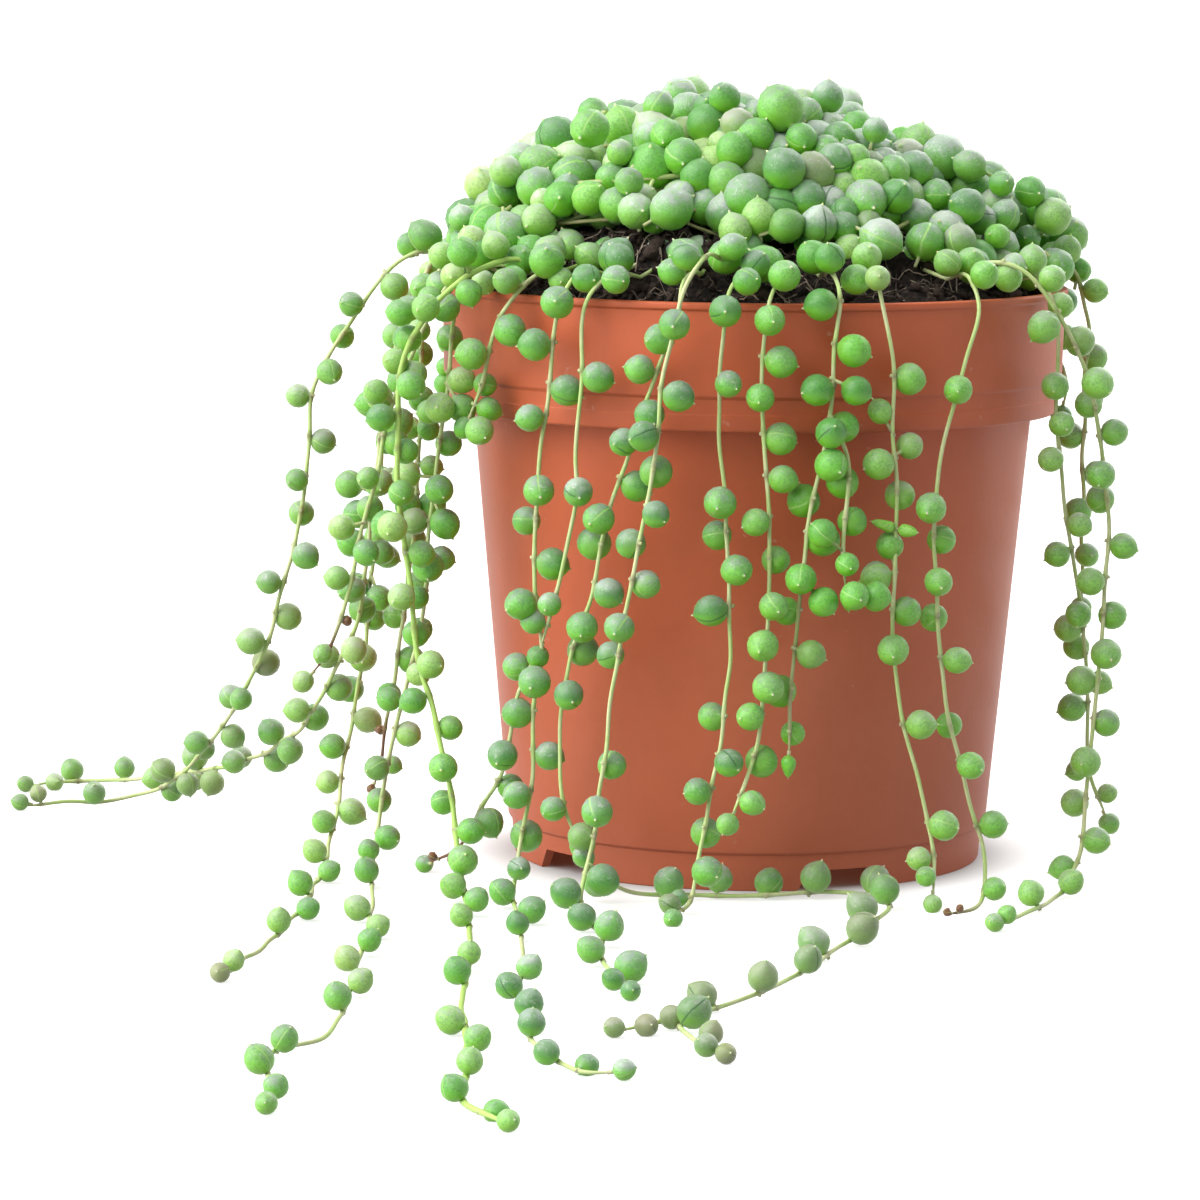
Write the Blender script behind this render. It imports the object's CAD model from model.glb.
# Potted string of pearls: the looks of the pot, the soil, the crown and the strands of round leaves.
# The CAD part is the frame. What grows here follows the same rules as in the part, in millimetres,
# so that each fine piece lies where the part has its plain one; metres come in when a mesh is made.

import math

import bmesh
import bpy
import numpy as np
from mathutils import Matrix, Vector


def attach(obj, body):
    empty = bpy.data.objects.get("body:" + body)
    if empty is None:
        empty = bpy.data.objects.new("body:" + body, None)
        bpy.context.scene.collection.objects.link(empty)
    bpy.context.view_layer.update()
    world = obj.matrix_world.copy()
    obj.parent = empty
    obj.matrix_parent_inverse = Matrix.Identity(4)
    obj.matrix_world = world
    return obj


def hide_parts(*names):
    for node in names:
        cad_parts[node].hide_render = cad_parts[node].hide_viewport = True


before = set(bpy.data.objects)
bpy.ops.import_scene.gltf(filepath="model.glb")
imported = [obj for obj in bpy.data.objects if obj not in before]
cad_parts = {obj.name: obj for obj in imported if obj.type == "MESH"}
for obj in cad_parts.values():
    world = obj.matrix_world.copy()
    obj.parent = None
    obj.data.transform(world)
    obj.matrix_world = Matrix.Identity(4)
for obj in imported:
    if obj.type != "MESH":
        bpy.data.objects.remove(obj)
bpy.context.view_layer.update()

MM = 0.001

# Dimensions of the pot, as in the part
POT_HEIGHT = 119
RIM_RADIUS = 65
COLLAR_BOTTOM = 93.5
COLLAR_STEP = 100.2
LIP_HEIGHT = 1.6
LIP_REACH = 0.6
BODY_TOP_RADIUS = 57.9
BODY_FOOT_RADIUS = 50
FOOT_RADIUS = 49
FOOT_GROOVE = 7.5
WALL = 1.6
MOUTH_RADIUS = RIM_RADIUS - LIP_REACH - WALL
RIM_HALF = (LIP_REACH + WALL) / 2
BASE_UNDERSIDE = 3.4
BASE_TOP = 5.4
FOOT_INNER_RADIUS = 46.6
CENTRE_PAD_RADIUS = 6
FOOT_NOTCHES = 5
FIRST_NOTCH_AZIMUTH = 23.4
NOTCH_HEIGHT = 4.2
NOTCH_WIDTH_BOTTOM = 18.6
NOTCH_WIDTH_TOP = 13.4
DRAIN_HOLES = 5
DRAIN_RADIUS = 4
DRAIN_CIRCLE = 30
POT_SIDES = 144

# Dimensions of the soil, as in the part
SOIL_GAP = 0.5
SOIL_EDGE_HEIGHT = 117.6
SOIL_PLATEAU_RADIUS = 43
SOIL_PLATEAU_HEIGHT = 125.6

# Dimensions and rules of the strands, as in the part. A pair of numbers for sizes and steps is the
# least share of the full one, and how much more is drawn.
STEM_RADIUS = 0.75
STEM_LONGEST_STEP = 24
STEM_BEND = 17
PIECES_PER_PLACE = 12
PEARL_SPACING = 7.4
FLOOR_SPREAD = 11
FLOOR_HEIGHT = 6
PEARL_RADIUS = 3
FLOOR_PEARL_RADIUS = 2.5
PEARL_NECK = 0.5
PEARL_ROOM = 1.06
FLOOR_GAP = 0.05
PLAIN_CROWN_FRONT = 40
PLAIN_CROWN_SIDE = 55
PLAIN_CROWN_BACK = 47
CROWN_OVERHANG = 11
CROWN_UNDERSIDE = 128
OWN_OVERLAP = 0.9
NODE_GAP = 0.4
FIRST_PEARL = 13
FIRST_BRANCH_PEARL = 6
TIP_STRETCH = 12
TIP_TAPER = 0.8
PEARL_LEAN = 0.25
PEARL_TURN = 137.5
PEARL_TURN_SCATTER = 30
TURNS_TRIED = (0, 40, -40, 80, -80, 120, -120, 160)
PEARL_SIZES = (0.9, 0.2)
PEARL_STEPS = (0.85, 0.3)
STEEP = 0.8
SOLID_EVERY = 3
DRAW_FACTOR = 16807
DRAW_PRIME = 2147483647
SEED = 20261

# The crown's outline, taken from its silhouette
CROWN_FOOT = 120
CROWN_RISE = 39.5
CROWN_SIDE_REACH = 68
CROWN_FRONT_REACH = 48
CROWN_BACK_REACH = 60

# The strands, as in the part: each stem's route is a list of [azimuth, radius, height]
STRANDS = {
    "strand_left_outer": {"pearl": 2.7, "routes": [[
        [-86, 58.5, 121], [-85, 64, 125], [-84, 74, 123], [-85, 83, 111], [-84.4, 91, 97],
        [-84.4, 92, 83], [-84, 94.5, 66], [-86, 98, 53], [-88, 101, 42], [-95, 110, 26],
        [-102, 122, 13], [-108, 136, 4], [-107, 148, 1.2], [-103, 161, 1.2],
    ]]},
    "strand_left_sweep": {"pearl": 2.7, "routes": [[
        [-66, 58.5, 121], [-66, 65, 124.5], [-70, 73, 112], [-73, 78, 95], [-75, 80.5, 71],
        [-79.5, 82.4, 49], [-86.8, 90, 31], [-96, 97.5, 21], [-105, 114, 12], [-113.4, 138, 5.5],
        [-115.4, 158, 1.6], [-114.4, 167, 1.2], [-111, 171, 1.2],
    ]]},
    "strand_left_dry_tip": {"pearl": 2.6, "routes": [[
        [-56, 58.5, 121], [-60, 66, 124.5], [-62, 74, 113], [-65, 80.5, 94], [-66, 83, 80],
        [-67.3, 85.6, 69], [-68.4, 87, 59], [-70, 90.5, 46], [-71.4, 94, 40],
    ]]},
    "strand_left_back": {"pearl": 2.8, "routes": [[
        [-98, 58.5, 121], [-98, 65.5, 124.5], [-97, 73, 112], [-96.5, 77, 95], [-96, 78.5, 79],
        [-95.7, 80.4, 54], [-95.5, 81.4, 42], [-94, 82.2, 33], [-90, 84, 22], [-84.6, 85.4, 12],
        [-78, 88, 3.5], [-68, 93, 1.2], [-51, 111, 1.2], [-39, 141, 1.2], [-33, 174, 1.2],
    ]]},
    "strand_left_long": {"pearl": 2.7, "routes": [[
        [-49, 57, 121.5], [-53, 65.5, 124.5], [-56, 71, 117], [-58, 72, 100], [-60, 72.5, 87],
        [-62, 73.5, 71], [-63, 73.5, 58], [-67, 75, 40], [-70, 77, 28], [-71.5, 78.5, 16], [-70, 81, 4],
        [-62, 86, 1.2], [-44, 105, 1.2], [-31, 139, 1.2], [-22.5, 184, 1.2], [-20, 210, 1.2],
        [-20.5, 227, 1.2], [-18, 250, 1.2], [-17, 262, 1.2],
    ]]},
    "strand_left_bright": {"pearl": 2.8, "stem": 0.95, "routes": [[
        [-44, 56, 121.5], [-47, 65, 126], [-51, 76, 121], [-55, 82, 111], [-56.7, 84, 101],
        [-57, 84, 86], [-57, 83.5, 75], [-56, 82, 62], [-54.5, 81, 45], [-52, 79.5, 35],
        [-48.5, 79, 20], [-45, 81, 8], [-40, 86, 1.4], [-33.4, 98, 1.3], [-22.2, 135, 1.3],
        [-16.5, 176, 1.3], [-14.3, 195, 1.3], [-11.6, 228, 1.3], [-10.3, 251, 1.3], [-8.3, 263, 1.3],
    ]]},
    "strand_left_inner": {"pearl": 2.7, "routes": [[
        [-75, 58.5, 121], [-76, 65, 123.5], [-76.5, 69.3, 111], [-77.4, 69.5, 95], [-78.4, 70, 82],
        [-78.5, 70.4, 70], [-79.7, 72.7, 50], [-80.3, 74, 39], [-80.2, 76, 28], [-79.6, 77.3, 19],
        [-78.3, 79, 15],
    ]]},
    "strand_left_short": {"routes": [[
        [-38, 56, 121.5], [-41, 64.5, 123.5], [-44, 70, 117], [-47, 71, 109], [-49.5, 71, 101],
        [-52, 71.5, 94],
    ]]},
    "strand_front_left": {"pearl": 3.25, "routes": [
        [
            [-29, 53, 122.5], [-31.5, 64, 124], [-33, 70, 118], [-34, 70.5, 105], [-36, 70.5, 89],
            [-37, 70.5, 74], [-37, 70.5, 61], [-35.5, 70.5, 50], [-37, 70.5, 38], [-37, 71, 23],
            [-38, 73, 10], [-35, 80, 2], [-25.5, 101, 1.2], [-17.5, 136, 1.2], [-13.5, 171, 1.2],
            [-10.2, 203, 1.2], [-7.3, 222, 1.2], [-5.5, 224, 1.2],
        ],
        [
            [-35.5, 70.5, 50], [-39.5, 71.5, 41], [-42.5, 71.5, 26], [-48, 71.5, 16], [-54, 72, 7],
            [-62, 73, 2],
        ],
        [
            [-23, 53, 122.5], [-25.5, 64, 124], [-28, 70, 118], [-28, 71, 103], [-29, 71, 89],
            [-29, 71, 78], [-33, 71, 59], [-35.5, 70.5, 50],
        ],
    ]},
    "strand_front_pale": {"pearl": 3.3, "routes": [[
        [-11, 50, 123.5], [-11.5, 60, 124.5], [-12, 67.5, 121.5], [-12.5, 70, 114], [-16, 70, 104],
        [-19, 70, 93], [-24, 70, 75], [-26, 70, 62], [-30, 70, 49], [-32, 70, 34], [-31, 70.5, 20],
        [-28, 70.5, 11],
    ]]},
    "strand_front_full": {"pearl": 3.25, "floor_pearl": 2.95, "routes": [
        [
            [-5, 50, 123.5], [-6, 60, 127.5], [-8, 70, 128], [-10.5, 76, 120], [-13, 77, 104],
            [-14, 77, 89], [-16, 76.5, 75], [-20, 76, 47], [-22, 76, 25], [-24, 76, 9], [-22, 86, 1.4],
            [-15, 106, 1.2], [-11.5, 131, 1.2], [-7.5, 158, 1.2],
        ],
        [
            [-24, 76, 9], [-20, 67, 2], [-9, 60, 1.2], [5, 58.5, 1.2], [16, 57.5, 1.2], [24, 63, 1.2],
            [23, 73, 1.2], [17, 87, 1.2], [9, 113, 1.2], [3.2, 143, 1.2], [0, 160, 1.2], [-4, 180, 1.2],
            [-6.4, 190, 1.2],
        ],
        [
            [-3.9, 179.5, 1.2], [-2.5, 196, 1.2], [-1, 208, 1.2],
        ],
    ]},
    "strand_middle_left": {"pearl": 3.2, "routes": [[
        [0, 53, 122.5], [-2, 62, 124], [-4.3, 69.5, 119], [-5, 70.5, 108], [-5, 70.5, 94],
        [-3.5, 70.5, 71], [-3, 70.5, 54], [-4, 70.5, 36], [-6.5, 71, 18], [-8, 75, 4.5], [-9, 86, 1.3],
    ]]},
    "strand_middle": {"pearl": 3.2, "routes": [[
        [6, 53, 122.5], [5, 62, 124], [2.5, 69.5, 119], [1.5, 70.5, 106], [2, 70.5, 92], [3, 70.5, 77],
        [3, 70.5, 59], [2, 70.5, 37], [0, 72.5, 27], [-2, 76, 20],
    ]]},
    "strand_middle_forked": {"pearl": 3.1, "routes": [
        [
            [14, 51, 123], [14, 61, 125.5], [14, 69, 121], [13, 70.5, 110], [12.2, 70.5, 95],
            [9.5, 70.5, 79], [8, 70.5, 61], [6.8, 70.5, 44], [6.6, 70.5, 31],
        ],
        [
            [12.4, 70.5, 98], [15, 73, 88], [14.2, 73.5, 73], [14.8, 73.5, 64],
        ],
    ]},
    "strand_front_right": {"pearl": 3.1, "routes": [[
        [23, 50, 123.5], [22, 59, 125.5], [21, 67, 123], [22, 70.5, 114], [23, 70.5, 105],
        [23, 70.5, 93], [24, 70.5, 80], [23.5, 70.5, 59], [25, 70.5, 40], [28.5, 71, 25],
        [30.5, 72.5, 12], [29, 76, 3],
    ]]},
    "strand_right_wavy": {"routes": [[
        [43, 54, 122], [42, 63, 124], [39.5, 69.5, 118], [36.5, 70.5, 108], [32.8, 70.5, 94],
        [31, 70.5, 83], [31, 70.5, 70], [32, 70.5, 54], [34, 71, 37], [38, 72, 20], [40, 73, 11],
        [38.5, 76, 3.5], [33.5, 82, 1.2], [27.5, 86, 1.2],
    ]]},
    "strand_right_outer": {"routes": [[
        [48, 54, 122], [48, 62, 126], [50, 69.5, 125], [54, 75, 116], [60, 77, 104], [65, 77, 92],
        [70, 77, 76], [70, 77, 62], [70.5, 76, 48], [70, 75, 32], [68, 74.5, 16], [63, 75.5, 4.5],
        [51, 81, 1.2], [39, 90, 1.2], [29.5, 99, 1.2],
    ]]},
    "strand_right_inner": {"routes": [[
        [61, 58.5, 121], [61, 65.5, 122.5], [61.5, 69.5, 113], [61.5, 69.5, 100], [62, 69.5, 93],
        [66, 69.5, 77], [73, 69.5, 62], [81, 70, 48], [91, 71, 33], [94, 72, 18], [96, 76, 7],
    ]]},
    "strand_right_back": {"routes": [[
        [87, 58.5, 121], [89, 65.5, 123], [92, 69.5, 113], [94, 69.5, 103], [94, 69.5, 91],
        [94, 69.5, 67], [93, 69.5, 54],
    ]]},
}

# Round the back the strands hang by rule, each a little apart from the next, from [radius, height]
# over the rim and down in a few drops
BACK_STRANDS = 12
BACK_FIRST_AZIMUTH = 106
BACK_LAST_AZIMUTH = 250
BACK_SHORTEST_TIP = 78
BACK_LONGEST_TIP = 6
BACK_SIDE_TIP = 92
BACK_SIDE_START = 0.5
BACK_SIDE_FULL = 0.75
BACK_ROOT = (58, 121)
BACK_RIM = (65.5, 123)
BACK_HANG = (70, 114)
BACK_DROPS = 4


def seeded_draws(seed):
    """One seeded draw after another, each from 0 to 1, the same as in the part."""
    state = seed

    def draw():
        nonlocal state
        state = (state * DRAW_FACTOR) % DRAW_PRIME
        return state / DRAW_PRIME

    return draw


def about_axis(angle, radius, height):
    """The point at an angle about the pot's axis (0 in front, growing to the right)."""
    return np.array([radius * math.sin(angle), -radius * math.cos(angle), height])


def polar(azimuth, radius, height):
    """The point at an azimuth in degrees, a radius and a height."""
    return about_axis(math.radians(azimuth), radius, height)


def unit(vector):
    return vector / np.linalg.norm(vector)


def reach_of(point):
    """How far a point is from the pot's axis."""
    return math.hypot(point[0], point[1])


def outward_at(point):
    """The level way out from the pot's axis at a point."""
    return unit(np.array([point[0], point[1], 0.0]))


def drawn(shares, draw):
    """The first share and, by a draw from 0 to 1, up to the second one more."""
    return shares[0] + shares[1] * draw


def within_one(value):
    """A share, kept from 0 to 1."""
    return min(1.0, max(0.0, value))


def turned_about(vector, axis, degrees):
    """A vector turned about an axis it is square to."""
    angle = math.radians(degrees)
    return vector * math.cos(angle) + np.cross(axis, vector) * math.sin(angle)


def add_back_strands():
    draw = seeded_draws(SEED + 7)
    for i in range(BACK_STRANDS):
        share = (i + 0.5) / BACK_STRANDS
        azimuth = BACK_FIRST_AZIMUTH + (BACK_LAST_AZIMUTH - BACK_FIRST_AZIMUTH) * share + 3 * draw()
        sideward = abs(math.sin(math.radians(azimuth)))
        shortened = min(1.0, (sideward - BACK_SIDE_START) / (BACK_SIDE_FULL - BACK_SIDE_START))
        drawn_tip = BACK_LONGEST_TIP + (BACK_SHORTEST_TIP - BACK_LONGEST_TIP) * draw()
        tip = max(drawn_tip, BACK_SIDE_TIP * shortened)
        radius, top = BACK_HANG
        route = [
            [azimuth - 2, *BACK_ROOT],
            [azimuth - 1, BACK_RIM[0], BACK_RIM[1] + 1.5 * draw()],
            [azimuth, radius, top],
        ]
        for k in range(1, BACK_DROPS + 1):
            height = top + (tip - top) * k / BACK_DROPS
            turn = 4 * (draw() - 0.5)
            route.append([azimuth + turn, radius + 1.6 * draw(), height])
        STRANDS[f"strand_back_{i + 1}"] = {"routes": [route]}


def smooth_points(route):
    """Points of a smooth curve through the places of a route."""
    places = [polar(*place) for place in route]
    before = 2 * places[0] - places[1]
    after = 2 * places[-1] - places[-2]
    padded = [before, *places, after]
    pieces = (len(places) - 1) * PIECES_PER_PLACE
    points = []
    for i in range(pieces + 1):
        index = min(i // PIECES_PER_PLACE, len(places) - 2)
        t = i / PIECES_PER_PLACE - index
        p0, p1, p2, p3 = padded[index : index + 4]
        t0 = 0.5 * (p2 - p0)
        t1 = 0.5 * (p3 - p1)
        square = -3 * p1 + 3 * p2 - 2 * t0 - t1
        cube = 2 * p1 - 2 * p2 + t0 + t1
        points.append(p1 + t0 * t + square * t * t + cube * t * t * t)
    return np.array(points)


def straight_steps(fine):
    """Which points the part keeps: where a stem has bent enough, or run far enough."""
    kept = [0]
    heading = unit(fine[1] - fine[0])
    for i in range(1, len(fine) - 1):
        following = unit(fine[i + 1] - fine[i])
        bend = math.degrees(math.acos(max(-1.0, min(1.0, float(heading @ following)))))
        run = np.linalg.norm(fine[i] - fine[kept[-1]])
        if bend > STEM_BEND or run > STEM_LONGEST_STEP:
            kept.append(i)
            heading = following
    kept.append(len(fine) - 1)
    return kept


def lengths_along(points):
    steps = np.linalg.norm(np.diff(points, axis=0), axis=1)
    return np.concatenate([[0.0], np.cumsum(steps)])


class Stem:
    """A stem: its smooth line, and the straight steps that the part makes of it."""

    def __init__(self, route):
        self.fine = smooth_points(route)
        self.fine_along = lengths_along(self.fine)
        self.kept = straight_steps(self.fine)
        self.corners = self.fine[self.kept]
        self.along = lengths_along(self.corners)
        self.total = float(self.along[-1])

    def at(self, length):
        """Place and heading on the straight steps, and the length along the smooth line."""
        index = 1
        while index < len(self.kept) - 1 and self.along[index] < length:
            index += 1
        start, end = self.corners[index - 1], self.corners[index]
        share = (length - self.along[index - 1]) / (self.along[index] - self.along[index - 1])
        first, last = self.kept[index - 1], self.kept[index]
        smooth = self.fine_along[first] + (self.fine_along[last] - self.fine_along[first]) * share
        return start + (end - start) * share, unit(end - start), float(smooth)

    def smooth_at(self, length):
        return np.array([np.interp(length, self.fine_along, self.fine[:, k]) for k in range(3)])


def soil_height(radius):
    edge = MOUTH_RADIUS - SOIL_GAP
    share = max(0.0, (radius - SOIL_PLATEAU_RADIUS) / (edge - SOIL_PLATEAU_RADIUS))
    return SOIL_PLATEAU_HEIGHT - (SOIL_PLATEAU_HEIGHT - SOIL_EDGE_HEIGHT) * share


def clear_of_pot(centre, radius):
    """Whether a ball keeps clear of the pot's outside, its rim and the soil."""
    reach = reach_of(centre)
    need = radius + NODE_GAP
    if centre[2] > POT_HEIGHT:
        beside = max(0.0, abs(reach - RIM_RADIUS + RIM_HALF) - RIM_HALF)
        if math.hypot(beside, centre[2] - POT_HEIGHT) < need:
            return False
        return reach > RIM_RADIUS or centre[2] - soil_height(reach) > need
    share = within_one((centre[2] + radius - FOOT_GROOVE) / (COLLAR_BOTTOM - FOOT_GROOVE))
    body = BODY_FOOT_RADIUS + (BODY_TOP_RADIUS - BODY_FOOT_RADIUS) * share
    wall = RIM_RADIUS if centre[2] + need > COLLAR_BOTTOM else body
    return reach - wall > need


def oval_reach(cosine, side, front, back):
    """Reach of an oval about the axis; the cosine is 1 in front and -1 at the back."""
    along = front if cosine > 0 else back
    return side + (along - side) * cosine * cosine


def clear_of_crown(centre, radius):
    """Whether a ball keeps clear of the space that the crown's own pearls take."""
    if centre[2] + radius < CROWN_UNDERSIDE - NODE_GAP:
        return True
    cosine = math.cos(math.atan2(centre[0], -centre[1]))
    reach = oval_reach(cosine, PLAIN_CROWN_SIDE, PLAIN_CROWN_FRONT, PLAIN_CROWN_BACK)
    return reach_of(centre) - radius > reach + CROWN_OVERHANG


class Occupied:
    """Everything already standing, against which each new pearl is tried."""

    MOST = 6000

    def __init__(self):
        self.count = 0
        self.centres = np.zeros((self.MOST, 3))
        self.radii = np.zeros(self.MOST)
        self.owners = np.zeros(self.MOST, int)
        self.starts, self.ends, self.bar_radii, self.bar_owners = [], [], [], []

    def add_ball(self, owner, centre, radius):
        self.centres[self.count] = centre
        self.radii[self.count] = radius
        self.owners[self.count] = owner
        self.count += 1

    def add_bars(self, owner, points, radius):
        for start, end in zip(points[:-1], points[1:]):
            self.starts.append(start)
            self.ends.append(end)
            self.bar_radii.append(radius)
            self.bar_owners.append(owner)

    def close_bars(self):
        self.starts, self.ends = np.array(self.starts), np.array(self.ends)
        self.bar_radii, self.bar_owners = np.array(self.bar_radii), np.array(self.bar_owners)

    def is_free(self, owner, centre, radius):
        if centre[2] - radius < FLOOR_GAP:
            return False
        if not clear_of_pot(centre, radius) or not clear_of_crown(centre, radius):
            return False
        n = self.count
        sums = self.radii[:n] + radius
        reach = np.where(self.owners[:n] == owner, sums * OWN_OVERLAP, sums + NODE_GAP)
        if np.any(np.linalg.norm(self.centres[:n] - centre, axis=1) < reach):
            return False
        run = self.ends - self.starts
        share = np.sum((centre - self.starts) * run, axis=1) / np.sum(run * run, axis=1)
        nearest = self.starts + run * np.clip(share, 0, 1)[:, None]
        distance = np.linalg.norm(nearest - centre, axis=1)
        near = distance < self.bar_radii + radius + NODE_GAP
        return not np.any(near & (self.bar_owners != owner))


def place_pearls(owner, stem, draw, occupied, start_at, sizes):
    """Pearls of one stem by rule: steps along it, turning about it, smaller towards its tip, wider
    apart where it runs forward on the floor."""
    pearls = []
    along = start_at
    turn = 360 * draw()
    index = 0
    while along < stem.total - 1:
        point, heading, smooth = stem.at(along)
        on_floor = point[2] < FLOOR_HEIGHT
        plumpness = drawn(PEARL_SIZES, draw())
        taper = TIP_TAPER if along > stem.total - TIP_STRETCH else 1
        radius = sizes[int(on_floor)] * plumpness * taper
        if abs(heading[2]) > STEEP:
            side = outward_at(point)
        else:
            side = np.array([0.0, 0.0, 1.0])
        first = unit(side - heading * (side @ heading))
        for extra in TURNS_TRIED:
            direction = unit(turned_about(first, heading, turn + extra) + PEARL_LEAN * heading)
            centre = point + direction * (radius + PEARL_NECK)
            if occupied.is_free(owner, centre, radius * PEARL_ROOM):
                occupied.add_ball(owner, centre, radius * PEARL_ROOM)
                pearl = Pearl(stem.smooth_at(smooth), direction, radius, smooth, on_floor)
                pearl.is_solid = index % SOLID_EVERY == 0
                pearls.append(pearl)
                break
        spread = FLOOR_SPREAD * abs(heading[1]) if on_floor else 0
        along += (PEARL_SPACING + spread) * drawn(PEARL_STEPS, draw())
        turn += PEARL_TURN + PEARL_TURN_SCATTER * (draw() - 0.5)
        index += 1
    return pearls


class Pearl:
    """A round leaf: where its neck meets the stem, where it points, its size and its looks."""

    def __init__(self, neck, direction, radius, along=0.0, on_floor=False):
        self.neck = neck
        self.direction = direction
        self.radius = radius
        self.along = along
        self.on_floor = on_floor
        self.neck_length = PEARL_NECK
        self.shrivelled = 0.0
        self.stretch = 1.0
        self.pale = 0.0
        self.is_solid = False


def lay_out_strands():
    """Every strand's stems and pearls, by the part's own rules."""
    occupied = Occupied()
    plans = {}
    for owner, (name, strand) in enumerate(STRANDS.items()):
        stems = [Stem(route) for route in strand["routes"]]
        for stem in stems:
            occupied.add_bars(owner, stem.corners, strand.get("stem", STEM_RADIUS))
        plans[name] = [{"stem": stem, "pearls": []} for stem in stems]
    occupied.close_bars()
    draw = seeded_draws(SEED + 3)
    for owner, name in enumerate(STRANDS):
        for plan, route in zip(plans[name], STRANDS[name]["routes"]):
            plan["is_branch"] = route[0][1] > RIM_RADIUS
            start_at = FIRST_BRANCH_PEARL if plan["is_branch"] else FIRST_PEARL
            strand = STRANDS[name]
            sizes = (strand.get("pearl", PEARL_RADIUS), strand.get("floor_pearl", FLOOR_PEARL_RADIUS))
            plan["pearls"] = place_pearls(owner, plan["stem"], draw, occupied, start_at, sizes)
    return plans, occupied


# Meshes are gathered as numpy arrays, one surface after another, with three numbers for the place
# within a leaf (side, axis, front) and three for its looks at each point
PEARL_SKIN = 0
STEM_SKIN = 1
ONLY_SKIN = 0

# Nothing comes below this height over the floor
LOWEST = 0.02

# A surface that ends narrower than this is closed by a point, so many of its widths further on
NARROW_END = 0.2
END_RISE = 0.7

# A pearl's outline in units of its radius, from the neck over the ball (in degrees) to its tip
NECK_RINGS = 2
NECK_WIDTH = 0.13
NECK_PLACES = (-1.3, -1.06)
BALL_START = 12
BALL_END = 165
TIP_PROFILE = [(0.13, 1.005), (0.065, 1.07), (0.03, 1.14)]
NECK_RADIUS = 0.36
NECK_SINK = 0.25
STRAND_PEARL_DETAIL = (16, 9)
CROWN_PEARL_DETAIL = (12, 7)

# How a pearl differs from a ball: stretched, uneven in waves, and pointed
STRETCH_RANGE = 0.12
FLOOR_STRETCH = 0.06
LUMP_WAVES = 4
LUMP_SIZE = 0.012
LUMP_PITCH = 1.6
SHRIVELLED_SIZE = 0.06
SHRIVELLED_PITCH = 3
POINTED = 0.06
FLOOR_POINTED = 0.10
POINTED_RANGE = 0.17
FULL_PHASE = 6.28


def placed(name, data):
    """A new object in the scene."""
    made = bpy.data.objects.new(name, data)
    bpy.context.scene.collection.objects.link(made)
    return made


def closed_faces(rings, sides, start_centre, end_centre, first=0):
    """Faces of rings of points that are closed by a centre point at each end."""
    here = first + np.arange(rings * sides).reshape(rings, sides)
    following = np.roll(here, -1, axis=1)
    quads = np.stack([here[:-1], here[1:], following[1:], following[:-1]], axis=-1)
    start = np.stack([np.full(sides, start_centre), here[0], following[0]], axis=-1)
    end = np.stack([np.full(sides, end_centre), following[-1], here[-1]], axis=-1)
    return quads.reshape(-1, 4), np.concatenate([start, end])


class Surface:
    """A turned surface in unit size: rings of points, closed by a point at each end."""

    def __init__(self, profile, sides):
        angles = np.arange(sides) * 2 * math.pi / sides
        rings = [
            np.stack([r * np.cos(angles), np.full(sides, a), r * np.sin(angles)], axis=1)
            for r, a in profile
        ]
        last_radius, last_place = profile[-1]
        rise = last_radius * END_RISE if last_radius < NARROW_END else 0
        self.points = np.concatenate([*rings, [[0, profile[0][1], 0], [0, last_place + rise, 0]]])
        count = len(profile) * sides
        self.quads, self.tris = closed_faces(len(profile), sides, count, count + 1)
        self.sides = sides


class Gathered:
    """Points, faces and looks of everything that goes into one mesh."""

    def __init__(self):
        self.points, self.places, self.tones = [], [], []
        self.quads, self.tris, self.quad_skins, self.tri_skins = [], [], [], []
        self.count = 0

    def add(self, points, quads, tris, places, tone, skin):
        """A surface; its places and tone are given for each point, or once for all of them."""
        self.points.append(points)
        self.places.append(np.broadcast_to(places, points.shape))
        self.tones.append(np.broadcast_to(tone, points.shape))
        self.quads.append(quads + self.count)
        self.tris.append(tris + self.count)
        self.quad_skins.append(np.full(len(quads), skin))
        self.tri_skins.append(np.full(len(tris), skin))
        self.count += len(points)

    def make(self, name, materials):
        points = np.concatenate(self.points) * MM
        quads = np.concatenate(self.quads)
        tris = np.concatenate(self.tris)
        mesh = bpy.data.meshes.new(name)
        mesh.vertices.add(len(points))
        mesh.vertices.foreach_set("co", points.astype(np.float32).ravel())
        mesh.loops.add(len(quads) * 4 + len(tris) * 3)
        mesh.loops.foreach_set("vertex_index", np.concatenate([quads.ravel(), tris.ravel()]))
        mesh.polygons.add(len(quads) + len(tris))
        starts = [np.arange(len(quads)) * 4, len(quads) * 4 + np.arange(len(tris)) * 3]
        mesh.polygons.foreach_set("loop_start", np.concatenate(starts))
        skins = np.concatenate(self.quad_skins + self.tri_skins)
        mesh.polygons.foreach_set("material_index", skins)
        mesh.polygons.foreach_set("use_smooth", np.ones(len(skins), bool))
        for attribute, values in (("leaf_place", self.places), ("leaf_tone", self.tones)):
            layer = mesh.attributes.new(attribute, "FLOAT_VECTOR", "POINT")
            layer.data.foreach_set("vector", np.concatenate(values).astype(np.float32).ravel())
        mesh.update(calc_edges=True)
        mesh.validate()
        for material in materials:
            mesh.materials.append(material)
        piece = placed(name, mesh)
        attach(piece, "root")
        return piece


def pearl_surface(sides, ball_rings):
    profile = [(NECK_WIDTH, place) for place in NECK_PLACES]
    for k in range(ball_rings):
        angle = math.radians(BALL_START + (BALL_END - BALL_START) * k / (ball_rings - 1))
        profile.append((math.sin(angle), -math.cos(angle)))
    return Surface(profile + TIP_PROFILE, sides)


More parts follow.
